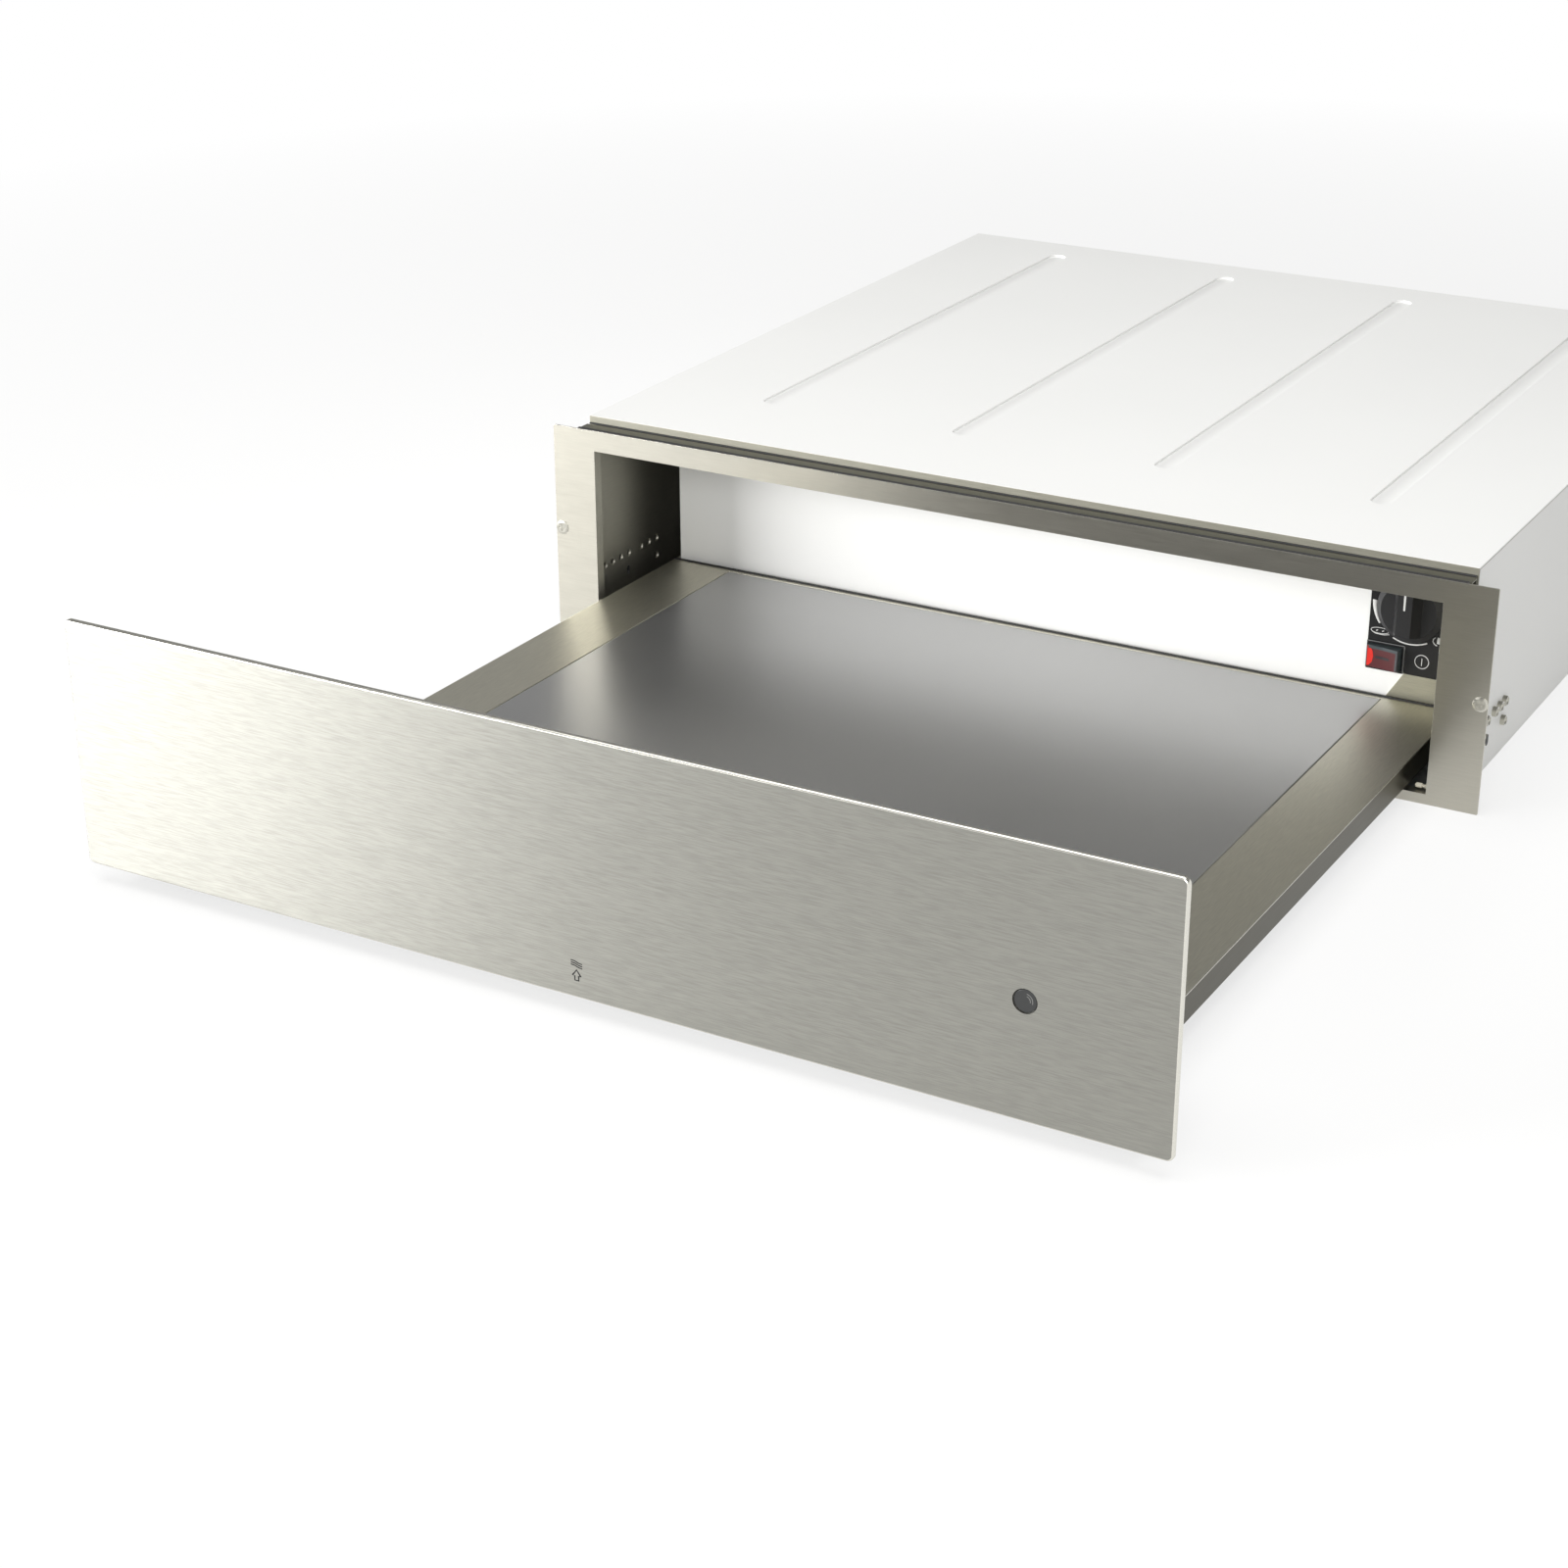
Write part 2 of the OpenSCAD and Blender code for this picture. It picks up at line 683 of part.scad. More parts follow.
// Liner: a deeper pan bonded to the back of the skin by a flange.
liner_x = panel_w / 2 - liner_side;
liner_z0 = panel_lift + liner_foot;
liner_z1 = panel_lift + panel_h - liner_top;
module panel_liner() {
    t = panel_sheet;
    y0 = panel_face_y + panel_sheet;
    bond_z0 = max(liner_z0 - liner_flange, panel_lift + panel_sheet + 0.5);
    color(galvanised) difference() {
        union() {
            span(liner_x, y0, panel_back_y, liner_z0, liner_z1);
            span(liner_x + liner_flange, y0, y0 + 1, bond_z0, liner_z1 + liner_flange);
        }
        span(liner_x - t, y0 - 1, panel_back_y - t, liner_z0 + t, liner_z1 - t);
    }
}

// Silicone seal round the liner's head and sides.
module panel_seal() {
    seal_w = 5;
    seal_t = closed_gap - 0.5;
    outer_x = opening_w / 2 + seal_w + 1;
    top = min(opening_top + seal_w + 1, liner_z1 - 1);
    low = liner_z0 + 3;
    color("#2a2a2b") difference() {
        span(outer_x, panel_back_y, panel_back_y + seal_t, low, top);
        span(outer_x - seal_w, panel_back_y - 1, panel_back_y + seal_t + 1, low - 1, top - seal_w);
    }
}

// Triangular gussets that brace the panel on the tray.
gusset_t = 2;
gusset_reach = 46;
gusset_rise = 66;
gusset_foot = 12;
gusset_foot_t = 1.5;
gusset_tip = 5;
module panel_gussets() {
    color(galvanised)
        for (s = [-1, 1])
            handed(s) union() {
                sideways(skirt_x - gusset_t, gusset_t)
                    polygon([
                        [panel_back_y, deck_lift], [panel_back_y + gusset_reach, deck_lift],
                        [panel_back_y + gusset_reach, deck_lift + gusset_tip],
                        [panel_back_y + gusset_tip, deck_lift + gusset_rise],
                        [panel_back_y, deck_lift + gusset_rise]
                    ]);
                block(skirt_x - gusset_foot, skirt_x, panel_back_y, panel_back_y + gusset_foot_t,
                      deck_lift, deck_lift + gusset_rise);
            }
}

// Dark lens of the indicator lamp.
module indicator_lens() {
    color("#3a3b3d") union() {
        rod_y(lens_d / 2 - 0.1, lens_x, panel_lift + lens_lift, panel_face_y + 0.4, panel_face_y + 4);
        rod_y(lens_d / 2 + 1, lens_x, panel_lift + lens_lift, panel_face_y + panel_sheet, panel_face_y + 3);
    }
}

// Holder of the indicator lamp, behind its lens.
module lamp_holder() {
    z = panel_lift + lens_lift;
    color(black) difference() {
        rod_y(lens_d / 2 + 3, lens_x, z, panel_face_y + panel_sheet, panel_back_y - panel_sheet);
        rod_y(lens_d / 2 + 1.1, lens_x, z, panel_face_y, panel_face_y + 4.1);
        rod_y(lens_d / 2 - 2, lens_x, z, panel_face_y, panel_back_y - 5);
    }
}

// Steel tray: top sheet with a stepped seat for the glass, and skirts at its sides.
module tray_frame() {
    t = tray_sheet;
    seat_mid = (glass_y0 + glass_y1) / 2;
    seat_len = glass_y1 - glass_y0 + 2 * fit_gap;
    seat_w = 2 * (glass_x + fit_gap);
    color(brushed) difference() {
        union() {
            span(tray_x, panel_back_y, deck_end_y, deck_under_z, deck_lift);
            for (s = [-1, 1])
                handed(s) block(skirt_x, tray_x, panel_back_y, box_back_y, skirt_z, deck_lift);
            span(bottom_x - t, panel_back_y, panel_back_y + t, bottom_top_z, deck_lift);
            span(bottom_x - t, deck_end_y - t, deck_end_y, bottom_top_z, deck_lift);
            translate([0, seat_mid, glass_seat_z - t]) linear_extrude(glass_t + t)
                square([seat_w + 2 * t, seat_len + 2 * t], center = true);
        }
        translate([0, seat_mid, glass_seat_z]) linear_extrude(glass_t + 1)
            square([seat_w, seat_len], center = true);
        translate([0, seat_mid, glass_seat_z - t - 1]) linear_extrude(glass_t)
            square([seat_w - 2 * glass_step, seat_len - 2 * glass_step], center = true);
    }
}

// Toughened glass plate, flush with the tray's ledges.
module deck_glass() {
    color("#55565a")
        translate([0, (glass_y0 + glass_y1) / 2, glass_seat_z]) linear_extrude(glass_t)
            round_rect(2 * glass_x, glass_y1 - glass_y0, glass_r / 4);
}

// Heating tube: straight runs joined by half-turn bends.
module heating_tube() {
    first_x = -(heater_runs - 1) / 2 * heater_pitch;
    y0 = heater_mid_y - heater_run_len / 2;
    y1 = heater_mid_y + heater_run_len / 2;
    tail = 18;
    color("#7a7570") union() {
        for (i = [0:heater_runs - 1])
            rod_y(heater_d / 2, first_x + i * heater_pitch, heater_z, y0,
                  y1 + (i == 0 || i == heater_runs - 1 ? tail : 0));
        for (i = [0:heater_runs - 2])
            translate([first_x + (i + 0.5) * heater_pitch, i % 2 == 0 ? y0 : y1, heater_z])
                rotate([0, 0, i % 2 == 0 ? 180 : 0]) rotate_extrude(angle = 180)
                    translate([heater_pitch / 2, 0]) circle(heater_d / 2);
    }
}

// Insulating pad below the heating tube.
module insulation_pad() {
    pad_x = glass_x - glass_step;
    color("#d9d4c4")
        span(pad_x, glass_y0 + 10, glass_y1 - 40, bottom_top_z, pad_top_z);
}

// Overheat cut-out, clipped to the tray's bottom behind the pad.
module overheat_cutout() {
    side = 112.5;
    x = glass_x - side;
    y = glass_y1 - 24;
    color("#8a5a3a") union() {
        translate([x, y, bottom_top_z]) cylinder(r = 8, h = 5);
        translate([x, y, bottom_top_z + 5]) cylinder(r = 5, h = 2.5);
        block(x - 14, x + 14, y - 3, y + 3, bottom_top_z, bottom_top_z + 1);
    }
}

// Bottom cover of the tray, folded up along the runners.
module tray_bottom() {
    t = tray_sheet;
    color(galvanised) union() {
        span(bottom_x, panel_back_y, box_back_y, skirt_z, bottom_top_z);
        for (s = [-1, 1])
            handed(s) block(bottom_x - t, bottom_x, panel_back_y, box_back_y, skirt_z, deck_under_z);
    }
}

// Floor of the control box, resting on the bottom cover's folds.
module box_base() {
    color(galvanised) difference() {
        span(skirt_x, box_front_y + box_sheet, box_back_y, deck_under_z, deck_lift);
        for (i = [-3:3])
            translate([i * 50, box_front_y + box_d / 2, deck_under_z - 1])
                linear_extrude(tray_sheet + 2) slot(36, 5);
    }
}

// Front of the control box, with holes for the shaft and the switch.
module box_front() {
    color("#e4e4e0") difference() {
        span(box_x, box_front_y, box_front_y + box_sheet, deck_under_z, box_top_z);
        control_holes(box_front_y, box_sheet);
    }
}

// Holes for the thermostat's shaft and the switch's body through a front sheet.
module control_holes(y, t) {
    rod_y(shaft_r + 1, dial_x, dial_z, y - 1, y + t + 1);
    upright(y - 1, t + 2)
        translate([switch_x, switch_z])
            square([switch_body_w + 0.2, switch_body_h + 0.2], center = true);
}

// Cover of the control box: roof, back and two sides in one folded sheet.
module box_cover() {
    t = box_sheet;
    y0 = box_front_y + box_sheet;
    slot_pitch = 30;
    slot_side = 57.5;
    slot_gaps = floor(2 * (box_x - slot_side) / slot_pitch);
    color(galvanised) difference() {
        span(box_x, y0, box_back_y, deck_lift, box_top_z);
        span(box_x - t, y0 - 1, box_back_y - t, deck_lift - 1, box_top_z - t);
        for (i = [0:slot_gaps])
            translate([(i - slot_gaps / 2) * slot_pitch, y0 + box_d / 2, box_top_z - t - 1])
                linear_extrude(t + 2) rotate(90) slot(26, 5);
        for (i = [0:slot_gaps])
            upright(box_back_y - t - 1, t + 2)
                translate([(i - slot_gaps / 2) * slot_pitch, deck_lift + 24]) rotate(90) slot(24, 5);
    }
}

// Screws that hold the control box's cover.
cover_screw_r = 3.2;
cover_screw_t = 1.8;
cover_screw_side = 22.5;
cover_screw_drop = 8;
module box_screws() {
    color(zinc)
        for (i = [-3:2:3])
            pan_screw_y(i * (box_x - cover_screw_side) / 3, box_top_z - cover_screw_drop, box_back_y,
                        cover_screw_r, cover_screw_t);
}

// Mains terminal block on the control box's floor.
module terminal_block() {
    poles = 3;
    pitch = 12;
    side = 72.5;
    x0 = side - box_x;
    y0 = box_front_y + 14;
    top = deck_lift + 16;
    color("#e9e6dc") difference() {
        block(x0, x0 + poles * pitch, y0, y0 + 20, deck_lift, top);
        for (i = [0:poles - 1], j = [0, 1])
            translate([x0 + (i + 0.5) * pitch, y0 + 5 + 10 * j, deck_lift + 8]) cylinder(r = 2.6, h = 20);
    }
}

// Striker below the tray, which meets the touch latch.
module latch_striker() {
    striker_w = 24;
    foot = 10;
    low = housing_sheet + 1.4;
    color(zinc) union() {
        span(striker_w / 2, striker_y, striker_y + striker_t, low, skirt_z);
        span(striker_w / 2, striker_y - foot, striker_y + striker_t, skirt_z - 1.5, skirt_z);
    }
}

// Steel plate behind the fascia, with a bevelled lower corner.
module control_plate() {
    foot_z = deck_under_z;
    foot_x = fascia_x0 + 12;
    bevel_z = fascia_z0 + 0.2;
    color(brushed) difference() {
        upright(plate_y, box_sheet)
            polygon([
                [foot_x, foot_z], [box_x, foot_z], [box_x, fascia_z1 - 1],
                [fascia_x0 + 1, fascia_z1 - 1], [fascia_x0 + 1, bevel_z],
                [switch_x + bezel_w / 2, bevel_z]
            ]);
        control_holes(plate_y, box_sheet);
    }
}

// Black fascia of the controls.
module control_fascia() {
    color(black) difference() {
        upright(fascia_y, fascia_t)
            translate([fascia_x0 + fascia_w / 2, (fascia_z0 + fascia_z1) / 2])
                round_rect(fascia_w, fascia_h, 0.8);
        control_holes(fascia_y, fascia_t);
    }
}

// Thermostat: a round body on a mounting flange, bored for its shaft.
thermostat_len = 24;
module thermostat_body() {
    y0 = box_front_y + box_sheet;
    color("#b8a888") difference() {
        union() {
            rod_y(17, dial_x, dial_z, y0 + 2, y0 + thermostat_len);
            upright(y0, 2) translate([dial_x, dial_z]) round_rect(46, 22, 3);
        }
        rod_y(shaft_r + shaft_clear, dial_x, dial_z, y0 - 1, y0 + thermostat_len - 4);
    }
}

// Shaft of the thermostat, which the knob is pushed on.
module thermostat_shaft() {
    color(zinc)
        rod_y(shaft_r, dial_x, dial_z, fascia_y - shaft_grip, box_front_y + box_sheet + thermostat_len - 5);
}

// Knob: a bevelled skirt, a flat face and a tapered grip across it.
module control_knob() {
    skirt_r = knob_d / 2;
    face_r = skirt_r - knob_bevel;
    y_back = fascia_y - knob_gap;
    face_h = knob_skirt_t + knob_bevel;
    grip_h = knob_h - knob_gap - face_h;
    grip_front = 4.3;
    grip_base = 7.9;
    grip_end_front = 12.3;
    grip_end_base = 14.4;
    color(black) difference() {
        union() {
            translate([dial_x, y_back, dial_z]) rotate([90, 0, 0]) rotate_extrude()
                polygon([
                    [0, 0], [skirt_r, 0], [skirt_r, knob_skirt_t], [face_r, face_h], [0, face_h]
                ]);
            translate([dial_x, y_back - face_h, dial_z]) intersection() {
                translate([0, 0, -grip_end_base - 1]) linear_extrude(2 * grip_end_base + 2)
                    polygon([
                        [-grip_base, 0], [grip_base, 0], [grip_front, -grip_h], [-grip_front, -grip_h]
                    ]);
                sideways(-grip_base - 1, 2 * grip_base + 2)
                    polygon([
                        [0, -grip_end_base], [0, grip_end_base],
                        [-grip_h, grip_end_front], [-grip_h, -grip_end_front]
                    ]);
            }
        }
        rod_y(shaft_r, dial_x, dial_z, fascia_y - shaft_grip, y_back + 1);
    }
}

// Body and bezel of the rocker switch, with sockets for the rocker's pins.
module switch_body() {
    body_back = box_front_y + box_sheet + 13;
    color(black) difference() {
        union() {
            upright(fascia_y - bezel_proud, bezel_proud)
                translate([switch_x, switch_z]) round_rect(bezel_w, bezel_h, 0.6);
            upright(fascia_y - 0.1, body_back - fascia_y)
                translate([switch_x, switch_z]) square([switch_body_w, switch_body_h], center = true);
            for (s = [-1, 1])
                block(switch_x + s * 5 - 2.4, switch_x + s * 5 + 2.4, body_back - 1, body_back + 8,
                      switch_z - 0.4, switch_z + 0.4);
        }
        upright(fascia_y - bezel_proud - 1, bezel_proud + 1 + 0.8 + cavity_depth)
            translate([switch_x, switch_z]) square([cavity_w, cavity_h], center = true);
        translate([switch_x, pivot_y, switch_z - switch_body_h / 2 + 0.1])
            cylinder(r = pivot_r + 0.06, h = switch_body_h - 0.2);
    }
}

// Red rocker, drawn leaning with its right end out, on two short pins.
module switch_rocker() {
    w = rocker_w / 2;
    color("#b02a26") translate([switch_x, pivot_y, switch_z]) rotate(-rocker_lean) union() {
        translate([0, 0, -rocker_h / 2]) linear_extrude(rocker_h)
            polygon([
                [-w, -5.5], [0, -5], [w, -5.5], [w - 0.2, 0.6], [4, 5], [-4, 5], [-w + 0.2, 0.6]
            ]);
        translate([0, 0, -rocker_h / 2 - 0.6]) cylinder(r = pivot_r, h = rocker_h + 1.2);
    }
}

front_frame();
top_channel();
housing_floor();
housing_side(-1);  // housing_side_left
housing_side(1);  // housing_side_right
housing_back();
housing_top();
housing_screws();
mains_gland();
side_guides();
rail_support(-1);  // rail_support_left
rail_support(1);  // rail_support_right
fixed_rail(-1);  // fixed_rail_left
fixed_rail(1);  // fixed_rail_right
latch_body();
latch_plunger();
outer_cage(-1);  // outer_cage_left
outer_cage(1);  // outer_cage_right
mid_rail(-1);  // mid_rail_left
mid_rail(1);  // mid_rail_right
inner_cage(-1);  // inner_cage_left
inner_cage(1);  // inner_cage_right
drawer_rail(-1);  // drawer_rail_left
drawer_rail(1);  // drawer_rail_right
front_panel();
panel_liner();
panel_seal();
panel_gussets();
indicator_lens();
lamp_holder();
tray_frame();
deck_glass();
heating_tube();
insulation_pad();
overheat_cutout();
tray_bottom();
box_base();
box_front();
box_cover();
box_screws();
terminal_block();
latch_striker();
control_plate();
control_fascia();
thermostat_body();
thermostat_shaft();
control_knob();
switch_body();
switch_rocker();
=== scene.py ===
"""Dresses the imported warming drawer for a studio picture.

Lengths in the dataclasses are millimetres in the drawer's own frame: +X is to the right as the
user faces the drawer, +Y runs into the cabinet and +Z is up. Meshes are written in metres.
"""

from __future__ import annotations

import json
import logging
import math
from dataclasses import dataclass
from enum import Enum
from typing import Callable, Mapping, Optional, Sequence, Union

import bmesh
import bpy
from mathutils import Matrix, Vector
from mathutils.bvhtree import BVHTree

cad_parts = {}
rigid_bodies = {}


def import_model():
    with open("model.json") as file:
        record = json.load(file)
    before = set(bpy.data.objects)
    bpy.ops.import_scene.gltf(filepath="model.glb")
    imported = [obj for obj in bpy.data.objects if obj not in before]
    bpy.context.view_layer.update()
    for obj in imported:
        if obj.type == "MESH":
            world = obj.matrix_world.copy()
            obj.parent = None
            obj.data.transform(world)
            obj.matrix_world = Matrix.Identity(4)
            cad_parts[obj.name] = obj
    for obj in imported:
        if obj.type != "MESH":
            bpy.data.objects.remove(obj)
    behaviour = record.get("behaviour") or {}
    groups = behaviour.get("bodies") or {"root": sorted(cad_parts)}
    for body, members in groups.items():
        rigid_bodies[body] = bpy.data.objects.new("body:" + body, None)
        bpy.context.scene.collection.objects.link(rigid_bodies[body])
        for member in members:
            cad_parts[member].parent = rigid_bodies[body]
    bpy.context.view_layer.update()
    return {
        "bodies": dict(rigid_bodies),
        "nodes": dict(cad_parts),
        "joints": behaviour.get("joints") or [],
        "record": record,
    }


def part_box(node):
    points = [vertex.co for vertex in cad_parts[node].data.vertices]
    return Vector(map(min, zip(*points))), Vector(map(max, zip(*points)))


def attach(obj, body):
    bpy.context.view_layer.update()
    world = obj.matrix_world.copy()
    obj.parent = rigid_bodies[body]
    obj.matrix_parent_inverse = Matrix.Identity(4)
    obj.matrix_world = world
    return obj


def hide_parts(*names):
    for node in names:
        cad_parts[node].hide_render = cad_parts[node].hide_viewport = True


LOG = logging.getLogger("warming_drawer")
MM = 0.001
PER_METRE = 1000.0

# In a copied solid, corners closer than this many millimetres are one.
WELD = 0.002

# Degrees between two faces: below the first they merge, above the others an edge is rounded, and
# stays sharp in the shading.
FLAT_BELOW = 0.4
EASED_ABOVE = 35.0
SHARP_ABOVE = 32.0

Socket = bpy.types.NodeSocket
Piece = bpy.types.Object
Point2 = tuple[float, float]
Setting = Union[float, int, bool, str, Sequence[float], Socket]
FaceRule = Callable[[bpy.types.MeshPolygon], bool]


class Grain(Enum):
    """The direction in which a sheet was brushed."""

    ALONG_X = (1.0, 0.0, 0.0)
    ALONG_Y = (0.0, 1.0, 0.0)


def linear(code: str) -> tuple[float, float, float, float]:
    """Turns an sRGB hex value into linear light.

    Args:
        code: six hex digits after a hash sign.

    Returns:
        Red, green, blue and an alpha of one.
    """
    channels = []
    for start in (1, 3, 5):
        value = int(code[start:start + 2], 16) / 255.0
        channels.append(value / 12.92 if value <= 0.04045 else ((value + 0.055) / 1.055) ** 2.4)
    return channels[0], channels[1], channels[2], 1.0


def add_node(
    tree: bpy.types.NodeTree,
    kind: str,
    settings: Optional[Mapping[str, object]] = None,
    inputs: Optional[Mapping[Union[str, int], Setting]] = None,
) -> bpy.types.Node:
    """Adds a node, sets its options and fills or links its inputs.

    Args:
        tree: the tree that gets the node.
        kind: the node's type.
        settings: option names and their values.
        inputs: input names or indexes, each with a value or with the socket that feeds it.

    Returns:
        The new node.
    """
    node = tree.nodes.new(kind)
    for key, value in (settings or {}).items():
        setattr(node, key, value)
    for key, value in (inputs or {}).items():
        if isinstance(value, Socket):
            tree.links.new(value, node.inputs[key])
        else:
            node.inputs[key].default_value = value
    return node


class Surface:
    """A material under construction, in the piece's own coordinates."""

    def __init__(self, name: str) -> None:
        """Starts an empty material.

        Args:
            name: the material's name.
        """
        self.material = bpy.data.materials.new(name)
        self.material.use_nodes = True
        self.tree = self.material.node_tree
        self.tree.nodes.clear()
        self._output = self.tree.nodes.new("ShaderNodeOutputMaterial")
        self.coords: Socket = add_node(self.tree, "ShaderNodeTexCoord").outputs["Object"]

    def noise(self, per_metre: float, detail: float, place: Optional[Socket] = None,
              extra: Optional[Mapping[str, float]] = None) -> Socket:
        """Adds a noise.

        Args:
            per_metre: how often it repeats in a metre.
            detail: how many finer layers it has.
            place: the coordinates it is read at, if not the piece's own.
            extra: its other inputs.

        Returns:
            Its value.
        """
        return add_node(self.tree, "ShaderNodeTexNoise", inputs={
            "Vector": self.coords if place is None else place, "Scale": per_metre,
            "Detail": detail, **(extra or {}),
        }).outputs[0]

    def line(self, value: Socket, gain: float, base: Union[float, Socket]) -> Socket:
        """Returns a value times a gain, plus a base."""
        return add_node(self.tree, "ShaderNodeMath", {"operation": "MULTIPLY_ADD"},
                        {0: value, 1: gain, 2: base}).outputs[0]

    def span(self, value: Socket, source: Point2, target: Point2) -> Socket:
        """Returns a value carried from one range to another, and held inside that."""
        ends = dict(zip(("From Min", "From Max", "To Min", "To Max"), (*source, *target)))
        return add_node(self.tree, "ShaderNodeMapRange", inputs={"Value": value, **ends}).outputs[0]

    def tone(self, colour: str, level: Socket) -> Socket:
        """Returns a hex colour made lighter and darker by a level."""
        return add_node(self.tree, "ShaderNodeVectorMath", {"operation": "SCALE"},
                        {0: linear(colour)[:3], "Scale": level}).outputs[0]

    def bump(self, strength: float, height_mm: float, height: Socket) -> Socket:
        """Returns the normal of a relief in which a height of one stands so many millimetres."""
        return add_node(self.tree, "ShaderNodeBump", inputs={
            "Strength": strength, "Distance": height_mm * MM, "Height": height,
        }).outputs[0]

    def end(self, shader: Socket) -> bpy.types.Material:
        """Joins a shader to the output and returns the finished material."""
        self.tree.links.new(shader, self._output.inputs["Surface"])
        return self.material

    def principled(self, inputs: Mapping[Union[str, int], Setting]) -> bpy.types.Material:
        """Ends the material with a principled shader and returns it."""
        return self.end(add_node(self.tree, "ShaderNodeBsdfPrincipled", inputs=inputs).outputs[0])


@dataclass(frozen=True)
class Finish:
    """A surface with its base colour and gloss."""

    name: str
    colour: str
    roughness: float

    def make(self) -> bpy.types.Material:
        """Builds the material."""
        raise NotImplementedError


@dataclass(frozen=True)
class BrushedStainless(Finish):
    """Stainless sheet ground with a belt: short fine scratches that stretch each highlight."""

    grain: Grain = Grain.ALONG_X
    streak_length: float = 10.0
    streak_width: float = 0.45
    contrast: float = 0.10
    anisotropy: float = 0.85
    scratch_depth: float = 0.06
    scratch_height: float = 0.02
    gloss_spread: float = 0.02

    def streaks(self, surface: Surface, size: float, detail: float) -> Socket:
        """Adds a layer of scratches.

        Args:
            surface: the material under construction.
            size: how many times the finest scratches' size this layer has.
            detail: the noise's detail.

        Returns:
            The layer's height.
        """
        across = PER_METRE / (self.streak_width * size)
        along = PER_METRE / (self.streak_length * size)
        stretched = add_node(surface.tree, "ShaderNodeMapping", inputs={
            "Vector": surface.coords, "Scale": [along if a else across for a in self.grain.value],
        })
        return surface.noise(1.0, detail, stretched.outputs[0], {"Roughness": 0.6})

    def make(self) -> bpy.types.Material:
        """Builds the brushed sheet.

        Returns:
            A metal whose colour, roughness and height vary along the grain.
        """
        surface = Surface(self.name)
        fine = self.streaks(surface, 1.0, 3.0)
        broad = self.streaks(surface, 2.0, 2.0)
        light = surface.span(surface.line(broad, 0.35, fine), (0.48, 0.87),
                             (1.0 - self.contrast, 1.0 + self.contrast))
        rough = surface.span(broad, (0.3, 0.7), (self.roughness - self.gloss_spread,
                                                 self.roughness + self.gloss_spread))
        normal = add_node(surface.tree, "ShaderNodeNewGeometry").outputs["Normal"]
        tangent = add_node(surface.tree, "ShaderNodeVectorMath", {"operation": "CROSS_PRODUCT"},
                           {0: normal, 1: self.grain.value})
        return surface.principled({
            "Base Color": surface.tone(self.colour, light), "Metallic": 1.0, "Roughness": rough,
            "Anisotropic": self.anisotropy, "Tangent": tangent.outputs[0],
            "Normal": surface.bump(self.scratch_depth, self.scratch_height, fine),
        })


@dataclass(frozen=True)
class CoatedSheet(Finish):
    """Coil-coated steel: pale polyester with a faint orange peel."""

    peel: float = 2.4

    def make(self) -> bpy.types.Material:
        """Builds the coated sheet.

        Returns:
            An even pale film over sheet metal.
        """
        surface = Surface(self.name)
        peel = surface.noise(PER_METRE / self.peel, 2.0)
        wipe = surface.noise(6.0, 3.0)
        return surface.principled({
            "Base Color": surface.tone(self.colour, surface.line(wipe, 0.04, 0.98)),
            "Roughness": surface.line(wipe, 0.08, self.roughness - 0.04),
            "Normal": surface.bump(0.06, 0.04, peel),
        })


@dataclass(frozen=True)
class SpangledZinc(Finish):
    """Hot-dip galvanised sheet: flat crystals a few millimetres wide, each a little different."""

    crystal: float = 9.0
    metallic: float = 0.9

    def make(self) -> bpy.types.Material:
        """Builds the galvanised sheet.

        Returns:
            A dull metal with crystals and a fine haze.
        """
        surface = Surface(self.name)
        cells = add_node(surface.tree, "ShaderNodeTexVoronoi", inputs={
            "Vector": surface.coords, "Scale": PER_METRE / self.crystal,
        })
        pick = add_node(surface.tree, "ShaderNodeSeparateColor", inputs={0: cells.outputs["Color"]})
        haze = surface.noise(18.0, 4.0)
        level = surface.line(haze, 0.12, surface.line(pick.outputs[0], 0.14, 0.86))
        return surface.principled({
            "Base Color": surface.tone(self.colour, level), "Metallic": self.metallic,
            "Roughness": surface.line(pick.outputs[1], 0.14, self.roughness - 0.07),
            "Normal": surface.bump(0.1, 0.02, pick.outputs[2]),
        })


@dataclass(frozen=True)
class Moulding(Finish):
    """Injection-moulded plastic, from a polished gloss to an eroded matt."""

    texture: float = 0.6
    relief: float = 0.05
    coat: float = 0.0
    see_through: float = 0.0

    def make(self) -> bpy.types.Material:
        """Builds the plastic.

        Returns:
            A plastic with the mould's texture.
        """
        surface = Surface(self.name)
        grain = surface.noise(PER_METRE / self.texture, 3.0)
        cloud = surface.noise(60.0, 2.0)
        return surface.principled({
            "Base Color": surface.tone(self.colour, surface.line(cloud, 0.16, 0.92)),
            "Roughness": surface.line(grain, 0.08, self.roughness - 0.04),
            "Normal": surface.bump(self.relief, 0.1, grain),
            "Coat Weight": self.coat, "Coat Roughness": 0.12,
            "Transmission Weight": self.see_through, "IOR": 1.5,
        })


@dataclass(frozen=True)
class SatinGlass(Finish):
    """Toughened glass with an etched top over a silvery grey print: soft, wide reflections."""

    mirror: float = 0.9

    def make(self) -> bpy.types.Material:
        """Builds the satin glass.

        Returns:
            A grey base under a frosted surface.
        """
        surface = Surface(self.name)
        frost = surface.noise(2500.0, 2.0)
        wipe = surface.noise(7.0, 3.0)
        return surface.principled({
            "Base Color": surface.tone(self.colour, surface.line(wipe, 0.12, 0.94)),
            "Roughness": surface.line(wipe, 0.06, self.roughness - 0.03),
            "Normal": surface.bump(0.05, 0.02, frost), "Metallic": self.mirror,
        })


